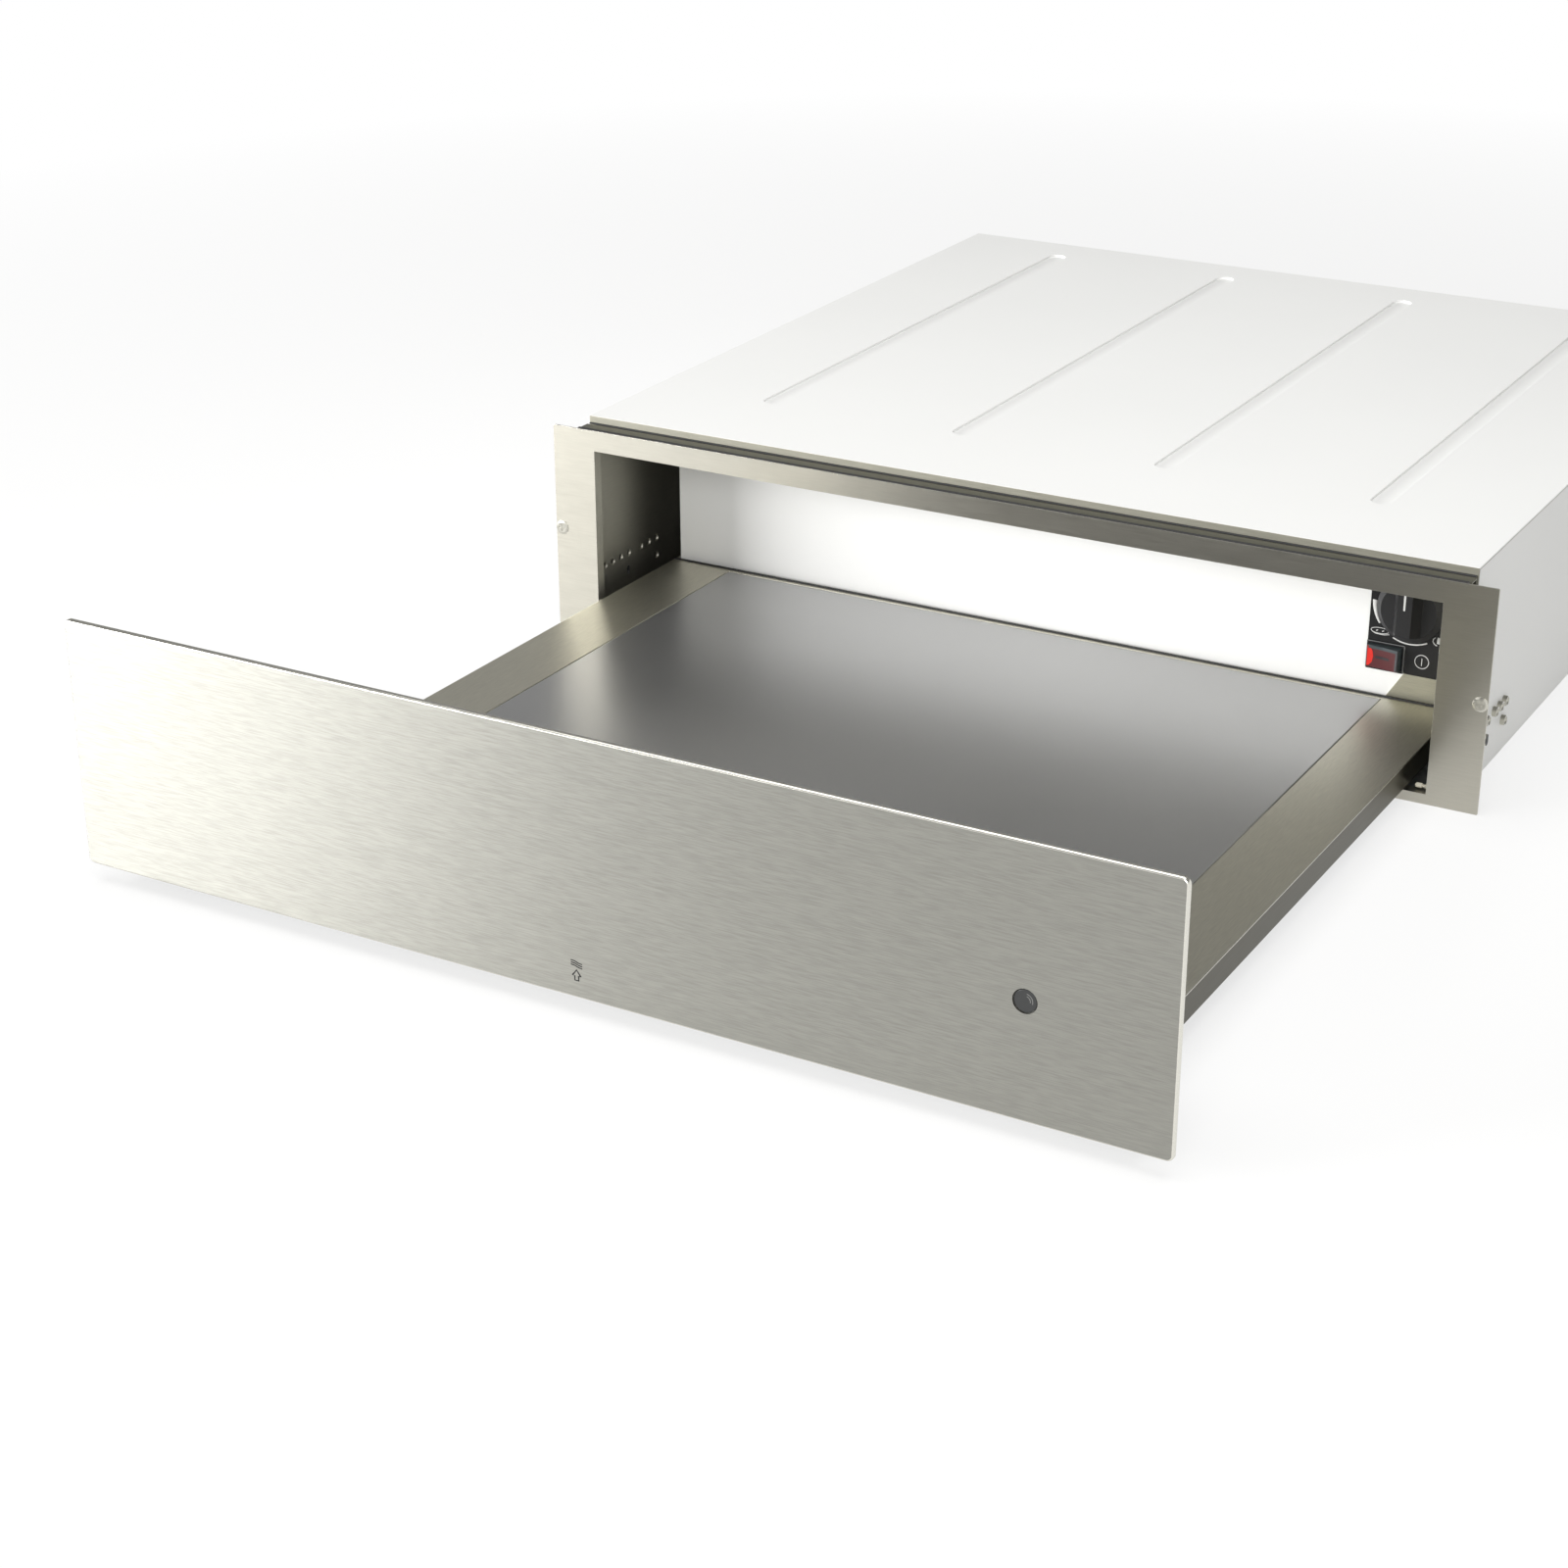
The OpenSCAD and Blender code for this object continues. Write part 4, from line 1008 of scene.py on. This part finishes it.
@dataclass
class FrontPanel(Dressing):
    """The pressed steel front with its rolled edge, lamp lens and push symbol."""

    edge_radius: float = 1.3
    sheet: float = 1.2
    rim_depth: float = 2.5
    highlight_depth: float = 3.0
    corner_radius: float = 3.5
    edge_steps: int = 6
    lens_hole_radius: float = 5.9
    wave_foot: float = 16.4
    wave_pitch: float = 1.15

    def build(self) -> None:
        """Builds and dresses the panel."""
        low, high = box_mm("front_panel")
        self.skin(low, high)
        self.paint("liner", "panel_liner")
        self.paint("rubber", "panel_seal")
        self.paint("galvanised", "panel_gussets")
        self.paint("black_matt", "lamp_holder")
        self.lens()
        self.push_symbol(low)

    def skin(self, low: Vector, high: Vector) -> None:
        """Builds the skin: a flat face, a rolled edge, a short rim and deeper folds.

        Args:
            low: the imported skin's lowest corner in millimetres.
            high: its highest corner.
        """
        mid_x, mid_z = (low.x + high.x) / 2, (low.z + high.z) / 2
        w, h = high.x - low.x, high.z - low.z
        bend = self.edge_radius
        rings = [(bend - out, bend - ahead) for out, ahead in
                 arc_path((0.0, 0.0), (bend, bend), 90.0, -90.0, self.edge_steps)]
        rings += [(0.0, self.rim_depth), (self.sheet, self.rim_depth), (self.sheet, self.sheet)]
        work = bmesh.new()
        loops = []
        for inset, depth in rings:
            radius = max(self.corner_radius - inset, 0.4)
            path = round_rect_path(w - 2 * inset, h - 2 * inset, radius)
            loops.append([work.verts.new(((mid_x + x) * MM, (low.y + depth) * MM, (mid_z + z) * MM))
                          for x, z in path])
        work.faces.new(loops[0])
        for outer, inner in zip(loops, loops[1:]):
            count = len(outer)
            for i in range(count):
                j = (i + 1) % count
                work.faces.new([outer[j], outer[i], inner[i], inner[j]])
        work.faces.new(list(reversed(loops[-1])))
        half = w / 2 - self.corner_radius
        for z in (low.z, high.z - self.sheet):
            prism(work, box_outline((-half, 0.0, z), (half, 0.0, z + self.sheet)),
                  [low.y + self.rim_depth - 0.1] * 4, [high.y] * 4)
        bmesh.ops.recalc_face_normals(work, faces=work.faces)
        piece = object_from_work("panel_skin", work, self.finishes["panel"])
        self.bore_lens_hole(piece, low.y)
        # The rolled edge and the front of the rim get the lighter copy of the stainless: a painted
        # highlight.
        highlight_end = (low.y + self.highlight_depth) * MM
        self.refinish(piece, "rim",
                      lambda face: -0.97 < face.normal.y < 0.02 and face.center.y < highlight_end)
        shade(piece, 28.0)
        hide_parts("front_panel")
        self.mount(piece, "drawer", "brushed_steel")

    def bore_lens_hole(self, piece: Piece, front: float) -> None:
        """Cuts the hole that the lens sits in.

        Args:
            piece: the skin.
            front: the skin's front in millimetres.
        """
        low, high = box_mm("indicator_lens")
        centre = Vector(((low.x + high.x) / 2, front, (low.z + high.z) / 2))
        drill = bmesh.new()
        bmesh.ops.create_cone(
            drill, cap_ends=True, segments=64, radius1=self.lens_hole_radius * MM,
            radius2=self.lens_hole_radius * MM, depth=8 * MM,
            matrix=Matrix.Translation(centre * MM) @ Matrix.Rotation(math.pi / 2, 4, "X"),
        )
        cutter = object_from_work("lens_hole", drill, self.finishes["panel"])
        cut = piece.modifiers.new("cut", "BOOLEAN")
        cut.object = cutter
        cut.solver = "EXACT"
        settle(piece)
        bpy.data.objects.remove(cutter)

    def lens(self) -> None:
        """Builds the dark lens, with painted highlights along two of its moulded rings."""
        low, high = box_mm("indicator_lens")
        centre = ((low.x + high.x) / 2, (low.z + high.z) / 2)
        self.soften("indicator_lens", "smoked", 0.5, "drawer", "dark_lens", 3)
        arcs = Mark("lens_ring_highlights", low.y)
        # Two light arcs where the rings catch light: painted highlights.
        for radius, start, sweep in ((3.5, -15.0, 95.0), (2.4, -10.0, 85.0)):
            arcs.stroke(arc_path(centre, (radius, radius), start, sweep, 14), 0.35)
        self.print_mark(arcs, "grey_ink", "drawer", "dark_lens")

    def push_symbol(self, low: Vector) -> None:
        """Prints the small push symbol: three slanting strokes over an open arrow.

        Args:
            low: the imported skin's lowest corner in millimetres.
        """
        symbol = Mark("push_symbol", low.y)
        wave = ((-3.3, 0.75), (-1.1, 0.55), (0.9, -0.2), (2.9, -0.45))
        for k in range(3):
            foot = low.z + self.wave_foot + self.wave_pitch * k
            symbol.stroke([(x, foot + z) for x, z in wave], 0.58)
        arrow = ((-1.35, 9.3), (0.75, 9.3), (0.75, 11.6), (2.05, 11.6), (-0.3, 14.7),
                 (-2.65, 11.6), (-1.35, 11.6))
        symbol.stroke([(x, low.z + z) for x, z in arrow], 0.85, closed=True)
        self.print_mark(symbol, "symbol_ink", "drawer", "brushed_steel")


@dataclass
class Tray(Dressing):
    """The heated tray with its glass, heater and bottom."""

    shadow_strip_gap: float = 3.2
    shadow_strip_width: float = 1.3
    shadow_strip_height: float = 0.7

    def build(self) -> None:
        """Dresses the tray."""
        self.ledges()
        self.soften("deck_glass", "glass", 0.7, "drawer", "grey_glass", 3)
        self.slot_shadow_strip()
        self.paint("galvanised", "tray_bottom", "box_base")
        self.paint("felt", "insulation_pad")
        self.paint("heater", "heating_tube")
        self.paint("brass", "overheat_cutout")
        self.paint("zinc", "drawer_rail_left", "drawer_rail_right", "latch_striker")

    def ledges(self) -> None:
        """Dresses the tray's sheet: a painted highlight on the folds at the ledges' edges, over a skirt
        whose darker colour is painted shade.
        """
        piece = self.soften("tray_frame", "tray", 0.35, "drawer", "brushed_steel")
        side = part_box("tray_frame")[1].x - 0.3 * MM
        fold = side - 0.4 * MM
        # The tray's sides get a darker copy of its stainless: painted shade.
        self.refinish(piece, "skirt",
                      lambda face: abs(face.center.x) > side and abs(face.normal.x) > 0.8)
        # The ledges' outer folds get the lighter copy: a painted highlight.
        self.refinish(piece, "rim",
                      lambda face: abs(face.center.x) > fold and 0.2 < face.normal.z < 0.95)

    def slot_shadow_strip(self) -> None:
        """Lays a dark strip across the slot behind the glass: painted shade for the gap there."""
        low, high = box_mm("tray_frame")
        front = box_mm("deck_glass")[1].y + self.shadow_strip_gap
        self.strip("deck_back_shadow_strip", (low.x + 0.3, front, high.z - 0.2),
                   (high.x - 0.3, front + self.shadow_strip_width, high.z + self.shadow_strip_height),
                   "rubber", "drawer", "black_gloss")


@dataclass
class Housing(Dressing):
    """The fixed housing with its front frame, roof and walls.

    The vents' places are measured back from the front frame's face, and up from the floor.
    """

    screw_radius: float = 4.3
    screw_height: float = 0.5
    screw_slot: float = 1.0
    back_screw_radius: float = 3.5
    sheet: float = 1.0
    shadow_strip_width: float = 1.8
    vent_zone: Point2 = (20.0, 95.0)
    shade_sheet_back: Point2 = (23.0, 92.0)
    shade_sheet_up: Point2 = (17.0, 36.0)
    shade_sheet_out: Point2 = (0.1, 0.35)
    dimple_place: Point2 = (53.9, 21.2)
    dimple_reach: Point2 = (1.7, 2.9)

    def build(self) -> None:
        """Dresses the housing."""
        self.front()
        self.soften("top_channel", "channel", 0.4, "housing", "brushed_steel")
        self.head_shadow_strips()
        self.roof()
        for node in ("housing_side_left", "housing_side_right"):
            self.side_wall(node)
        self.vent_shade_sheet()
        self.paint("coated", "housing_back")
        self.paint("galvanised", "housing_floor", "rail_support_left", "rail_support_right")
        self.paint("zinc", "fixed_rail_left", "fixed_rail_right")
        self.paint("nylon", "side_guides")
        self.paint("black_matt", "mains_gland", "latch_body")
        self.frame_screws()
        self.screw_field("housing_back_screws", "housing_screws", (5, 2), self.back_screw_radius,
                         "housing")

    def front(self) -> None:
        """Dresses the front frame: folded returns left as rolled, and a lighter copy on the eased front
        edges as a painted highlight.
        """
        piece = self.soften("front_frame", "frame", 0.35, "housing", "brushed_steel")
        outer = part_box("front_frame")[1].x - 10 * MM
        self.refinish(piece, "wall",
                      lambda face: abs(face.normal.x) > 0.7 and abs(face.center.x) < outer)
        # Eased front edges get a lighter copy of the stainless: a painted highlight.
        self.refinish(piece, "rim", lambda face: -0.97 < face.normal.y < -0.25)

    def head_shadow_strips(self) -> None:
        """Lays two dark strips along the channel, behind the head and before the roof: painted shade
        for the gaps there.
        """
        low, high = box_mm("top_channel")
        for name, y, lift in (("head_shadow_strip_front", low.y + 0.1, 1.0),
                              ("head_shadow_strip_back", high.y - self.shadow_strip_width - 0.1, 0.4)):
            self.strip(name, (low.x + 1.0, y, high.z - 0.2),
                       (high.x - 1.0, y + self.shadow_strip_width, high.z + lift),
                       "rubber", "housing", "black_gloss")

    def vent_shade_sheet(self) -> None:
        """Lays a black sheet behind the left wall's small vents: painted shade seen through them."""
        wall = box_mm("housing_side_left")[0].x
        front = box_mm("front_frame")[0].y
        self.strip("vent_shade_sheet", (wall - self.shade_sheet_out[1], front + self.shade_sheet_back[0], self.shade_sheet_up[0]),
                   (wall - self.shade_sheet_out[0], front + self.shade_sheet_back[1], self.shade_sheet_up[1]),
                   "black_matt", "housing", "galvanised_steel")

    def roof(self) -> None:
        """Dresses the roof: coated above, bare inside, with a front fold in a darker brushed finish
        that is painted shade for the gap behind the channel.
        """
        piece = self.soften("housing_top", "coated", 0.35, "housing", "galvanised_steel")
        low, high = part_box("housing_top")
        fold = low.y + 0.4 * MM
        inside = high.z - 0.6 * self.sheet * MM
        self.refinish(piece, "wall", lambda face: face.normal.z < -0.5 and face.center.z < inside)
        # The front fold's darker finish is painted shade for the gap behind the channel.
        self.refinish(piece, "roof_fold",
                      lambda face: face.center.y < fold and face.normal.z < 0.75)

    def side_wall(self, node: str) -> None:
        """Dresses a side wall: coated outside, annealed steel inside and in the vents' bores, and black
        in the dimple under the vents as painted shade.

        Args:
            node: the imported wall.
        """
        piece = self.soften(node, "wall", 0.0, "housing", "galvanised_steel")
        face_x = box_mm("housing_top")[1].x
        front = box_mm("front_frame")[0].y

        def is_coated(face: bpy.types.MeshPolygon) -> bool:
            """Says whether a face is on the outside and not in a vent."""
            back = face.center.y / MM - front
            in_vents = self.vent_zone[0] < back < self.vent_zone[1]
            return abs(face.center.x) / MM > face_x - 0.1 and (abs(face.normal.x) > 0.5 or not in_vents)

        def is_shaded_dimple(face: bpy.types.MeshPolygon) -> bool:
            """Says whether a face is in the dimple under the vents."""
            back, up = face.center.y / MM - front, face.center.z / MM
            return (abs(face.center.x) / MM > face_x - 0.9
                    and abs(back - self.dimple_place[0]) < self.dimple_reach[0]
                    and abs(up - self.dimple_place[1]) < self.dimple_reach[1])

        self.refinish(piece, "coated", is_coated)
        # The dimple under the vents is painted black: painted shade in the pocket.
        self.refinish(piece, "black_matt", is_shaded_dimple)

    def frame_screws(self) -> None:
        """Sets the two screws that hold the frame to the cabinet."""
        mount = next(m for m in self.frame["record"]["mounts"] if m["name"] == "fixing_holes")
        pitch = mount["dims"]["spacing_x_mm"] * MM
        x, y, z = mount["pos_m"]
        piece = self.screws.run("frame_screws", self.finishes["screw"], {
            "Head Radius": self.screw_radius * MM, "Head Height": self.screw_height * MM,
            "Recess Width": self.screw_slot * MM, "Count": 2, "Pitch": (pitch, 0.0, 0.0),
            "First": (x - pitch / 2, y, z),
        })
        self.mount(piece, "housing", "zinc_steel")


@dataclass
class Runners(Dressing):
    """The ball runners at both sides and the touch latch's plunger."""

    def build(self) -> None:
        """Dresses the runners."""
        for side in ("left", "right"):
            self.paint("zinc", "mid_rail_" + side)
            self.paint("brass", "outer_cage_" + side, "inner_cage_" + side)
        self.paint("nylon", "latch_plunger")


@dataclass
class Controls(Dressing):
    """The control box with its fascia, dial and rocker switch."""

    arc_radius: float = 21.5
    face_radius: float = 16.6
    highlight_inset: float = 0.35
    highlight_width: float = 0.4
    symbol_line: float = 0.42
    rocker_film: float = 0.10
    rocker_valley: float = 9.4

    def build(self) -> None:
        """Builds and dresses the controls."""
        self.soften("box_front", "pale", 0.25, "drawer", "light_sheet")
        self.paint("galvanised", "box_cover")
        self.soften("control_plate", "plate", 0.2, "drawer", "brushed_steel")
        self.soften("control_fascia", "black_gloss", 0.3, "drawer", "black_gloss")
        self.paint("ceramic", "terminal_block")
        self.paint("brass", "thermostat_body")
        self.paint("zinc", "thermostat_shaft")
        self.knob()
        self.soften("switch_body", "black_gloss", 0.4, "drawer", "black_gloss")
        self.bezel_bead()
        low, high = box_mm("box_screws")
        self.screw_field("cover_screws", "box_screws", (4, 1), (high.z - low.z) / 2, "drawer")
        self.pointer()
        self.dial_marks()
        self.symbols()
        self.rocker()

    def dial_centre(self) -> Point2:
        """Returns the dial's centre in X and Z, in millimetres."""
        low, high = box_mm("control_knob")
        return (low.x + high.x) / 2, (low.z + high.z) / 2

    def knob(self) -> None:
        """Dresses the knob, with a duller, eroded skirt whose lighter grey is a painted reflection."""
        piece = self.soften("control_knob", "black_abs", 0.5, "dial", "black_gloss", 3)
        cx, cz = (c * MM for c in self.dial_centre())
        edge = self.face_radius * MM
        # The skirt's lighter grey is a painted reflection.
        self.refinish(piece, "skirt_abs",
                      lambda face: math.hypot(face.center.x - cx, face.center.z - cz) > edge)

    def bezel_bead(self) -> None:
        """Lays a fine grey line along the head and right side of the switch's bezel: a painted
        highlight on its edge.
        """
        low, high = box_mm("switch_body")
        edge_highlight = Mark("switch_bezel_edge_highlight", low.y, film=0.12)
        corner = (high.x - self.highlight_inset, high.z - self.highlight_inset)
        edge_highlight.stroke([(low.x + self.highlight_inset, corner[1]), corner], self.highlight_width)
        edge_highlight.stroke([(corner[0], low.z + self.highlight_inset), corner], self.highlight_width)
        self.print_mark(edge_highlight, "bezel_bead", "drawer", "black_gloss")

    def pointer(self) -> None:
        """Prints the white line on the knob's grip."""
        cx, cz = self.dial_centre()
        line = Mark("knob_pointer", box_mm("control_knob")[0].y)
        line.patch([(cx - 0.5, cz + 3.2), (cx + 0.5, cz + 3.2), (cx + 0.6, cz + 12.0),
                    (cx - 0.6, cz + 12.0)])
        self.print_mark(line, "white_ink", "dial", "black_gloss")

    def dial_marks(self) -> None:
        """Prints the arcs round the dial."""
        cx, cz = self.dial_centre()
        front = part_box("control_fascia")[0].y
        plan = (("left", 177.0, 37.0, 2.7, 1.0), ("foot", 243.0, 55.0, 0.8, 0.8),
                ("right", 326.0, 37.0, 1.0, 2.7))
        for label, start, sweep, first, last in plan:
            piece = self.arcs.run("dial_arc_" + label, self.finishes["white_ink"], {
                "Radius": self.arc_radius * MM, "Start": math.radians(start),
                "Sweep": math.radians(sweep), "First Width": first * MM, "Last Width": last * MM,
                "Centre": (cx * MM, front, cz * MM),
            })
            self.mount(piece, "drawer", "black_gloss")

    def symbols(self) -> None:
        """Prints the plate, the cup and the power symbol on the fascia."""
        face = box_mm("control_fascia")[0].y
        lift = box_mm("tray_frame")[1].z - 15.8
        plate = Mark("plate_symbol", face)
        plate.stroke(arc_path((207.1, lift + 53.9), (5.2, 1.7), 0.0, 360.0, 28), 0.3, closed=True)
        plate.stroke([(202.5, lift + 52.9), (204.6, lift + 51.9), (209.6, lift + 51.7),
                      (212.6, lift + 52.4)], 0.34)
        for x in (205.4, 208.8):
            plate.stroke([(x - 0.5, lift + 53.6), (x + 0.5, lift + 54.1)], 0.45)
        cup = Mark("cup_symbol", face)
        cup.patch([(239.9, 62.2), (241.9, 61.9), (242.5, 65.6), (240.2, 65.8)])
        cup.stroke([(238.9, 65.5), (237.8, 64.4), (237.7, 62.9), (238.6, 61.6), (240.2, 60.9)], 0.5)
        power = Mark("power_symbol", face)
        power.stroke(arc_path((232.4, 49.85), (3.95, 3.95), 0.0, 360.0, 40), self.symbol_line,
                     closed=True)
        power.stroke([(232.4, 47.5), (232.4, 51.9)], self.symbol_line)
        for mark in (plate, cup, power):
            self.print_mark(mark, "white_ink", "drawer", "black_gloss")

    def rocker(self) -> None:
        """Dresses the rocker: grey-teal painted reflection and shade on its top and right faces and
        along an inner frame, a painted highlight at its left end, and a dark bar.
        """
        piece = self.soften("switch_rocker", "red_rocker", 0.5, "rocker", "red_plastic", 3)
        # Top faces get a painted reflection, right faces painted shade, in grey-teal.
        self.refinish(piece, "rocker_flank",
                      lambda face: face.normal.z > 0.6 or face.normal.x > 0.6)
        low, high = box_mm("switch_rocker")
        left, right, middle = low.x, high.x, (low.z + high.z) / 2
        valley = left + self.rocker_valley
        surface = Relief(self.frame, "switch_rocker")
        highlight_patch, edge, bar = (Mark(name, 0.0, self.rocker_film, relief=surface)
                             for name in ("rocker_end_painted_highlight", "rocker_edge_reflection_and_shade", "rocker_bar"))
        # The rocker's left end gets a bright red patch: a painted highlight.
        lower = [(left + 0.5, -5.9), (left + 1.9, -5.4), (left + 3.5, -3.2)]
        highlight_patch.patch([(x, middle + z) for x, z in lower] + [(left + 4.1, middle)]
                     + [(x, middle - z) for x, z in reversed(lower)])
        # The inner frame in grey-teal: painted reflection along the head, painted shade down the right
        # side.
        head = high.z - 1.6
        edge.stroke([(left + 0.8, head), (valley, head), (right - 0.9, head)], 1.7)
        edge.stroke([(right - 1.4, low.z + 1.2), (right - 1.4, high.z - 2.4)], 1.0)
        bar.stroke([(left + 5.3, middle), (valley, middle), (left + 13.6, middle)], 1.5)
        for mark, ink in ((highlight_patch, "red_lens"), (edge, "rocker_flank"), (bar, "dark_ink")):
            self.print_mark(mark, ink, "rocker", "red_plastic")


@dataclass
class Softbox:
    """A rectangular lamp that looks at one point, in metres and watts."""

    name: str
    place: tuple[float, float, float]
    target: tuple[float, float, float]
    size: tuple[float, float]
    power: float

    def build(self) -> None:
        """Adds the lamp."""
        data = bpy.data.lights.new(self.name, "AREA")
        data.shape = "RECTANGLE"
        data.size, data.size_y = self.size
        data.energy = self.power
        lamp = bpy.data.objects.new(self.name, data)
        lamp.location = self.place
        aim = Vector(self.target) - Vector(self.place)
        lamp.rotation_euler = aim.to_track_quat("-Z", "Y").to_euler()
        bpy.context.scene.collection.objects.link(lamp)


@dataclass
class Studio:
    """The floor, the backdrop, the lamps, the world and the camera, in metres."""

    camera_place: tuple[float, float, float] = (0.69067, -1.70755, 0.66316)
    camera_turn: tuple[float, float, float] = (65.954, 0.144, 29.784)
    lens: float = 68.396
    floor_half: float = 40.0
    backdrop_height: float = 11.0
    floor_glow: float = 0.66
    glow_reach: Point2 = (0.7, 1.6)
    world_level: float = 0.22

    def build(self) -> None:
        """Sets the studio up."""
        scene = bpy.context.scene
        scene.view_settings.view_transform = "Standard"
        self.camera(scene)
        self.floor()
        self.world(scene)
        for box in (
            Softbox("key_left", (-5.77, -4.52, 1.25), (0.0, -0.6, 0.1), (5.2, 2.1), 650.0),
            Softbox("top", (0.0, -0.75, 1.9), (0.0, -0.6, 0.0), (2.2, 1.9), 34.0),
            Softbox("fill_right", (1.2, -2.95, 1.1), (-0.1, -0.4, 0.1), (1.6, 1.1), 36.0),
        ):
            box.build()

    def camera(self, scene: bpy.types.Scene) -> None:
        """Adds the camera at the photograph's angle.

        Args:
            scene: the scene that gets it.
        """
        data = bpy.data.cameras.new("camera")
        data.lens = self.lens
        data.sensor_width = 36.0
        data.clip_start = 0.05
        data.clip_end = 150.0
        camera = bpy.data.objects.new("camera", data)
        camera.location = self.camera_place
        camera.rotation_euler = [math.radians(a) for a in self.camera_turn]
        scene.collection.objects.link(camera)
        scene.camera = camera

    def floor(self) -> None:
        """Lays the pale floor, which keeps the drawer's soft shadow, and the backdrop round it."""
        paper = self.paper()
        half = self.floor_half
        mesh = bpy.data.meshes.new("floor")
        outline = [(-half, -half, 0.0), (half, -half, 0.0), (half, half, 0.0), (-half, half, 0.0)]
        mesh.from_pydata(outline, [], [(0, 1, 2, 3)])
        object_from_mesh("floor", mesh, paper)
        work = bmesh.new()
        bmesh.ops.create_circle(work, cap_ends=False, segments=64, radius=half)
        rise = bmesh.ops.extrude_edge_only(work, edges=work.edges[:])
        raised = [v for v in rise["geom"] if isinstance(v, bmesh.types.BMVert)]
        bmesh.ops.translate(work, verts=raised, vec=(0.0, 0.0, self.backdrop_height))
        object_from_work("backdrop", work, paper)

    def paper(self) -> bpy.types.Material:
        """Builds the backdrop paper, which is lit for the camera and shows in metal and glass.

        Returns:
            White paper that darkens a little near the drawer, where its shadow lies.
        """
        surface = Surface("pale_paper")
        surface.material.cycles.emission_sampling = "NONE"
        tree = surface.tree
        tone = surface.tone("#f6f6f5", surface.line(surface.noise(0.8, 2.0), 0.02, 0.98))
        matt = add_node(tree, "ShaderNodeBsdfDiffuse", inputs={"Color": tone})
        glow = add_node(tree, "ShaderNodeEmission", inputs={
            "Color": linear("#ffffff"), "Strength": 1.0,
        })
        rays = add_node(tree, "ShaderNodeLightPath").outputs
        mirrored = add_node(tree, "ShaderNodeMath", {"operation": "MAXIMUM"}, {
            0: rays["Is Glossy Ray"], 1: rays["Is Transmission Ray"],
        })
        seen = add_node(tree, "ShaderNodeMath", {"operation": "MAXIMUM"}, {
            0: rays["Is Camera Ray"], 1: mirrored.outputs[0],
        })
        reach = add_node(tree, "ShaderNodeVectorMath", {"operation": "LENGTH"}, {0: surface.coords})
        fade = surface.span(reach.outputs["Value"], self.glow_reach, (self.floor_glow, 1.0))
        share = add_node(tree, "ShaderNodeMath", {"operation": "MULTIPLY"}, {
            0: seen.outputs[0], 1: fade,
        })
        return surface.end(add_node(tree, "ShaderNodeMixShader", inputs={
            0: share.outputs[0], 1: matt.outputs[0], 2: glow.outputs[0],
        }).outputs[0])

    def world(self, scene: bpy.types.Scene) -> None:
        """Lights the room evenly.

        Args:
            scene: the scene that gets the world.
        """
        world = bpy.data.worlds.new("room")
        world.use_nodes = True
        tree = world.node_tree
        tree.nodes.clear()
        glow = add_node(tree, "ShaderNodeBackground", inputs={
            "Color": linear("#fbfbf9"), "Strength": self.world_level,
        })
        output = tree.nodes.new("ShaderNodeOutputWorld")
        tree.links.new(glow.outputs[0], output.inputs["Surface"])
        scene.world = world


def main() -> None:
    """Builds the drawer's looks in order."""
    logging.basicConfig(level=logging.INFO, format="%(name)s: %(message)s")
    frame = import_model()
    finishes = Finishes()
    Studio().build()
    screws = screw_tree()
    arcs = arc_tree()
    for assembly in (Housing, Runners, Tray, FrontPanel, Controls):
        assembly(frame, finishes, screws, arcs).build()


if __name__ == "__main__":
    main()
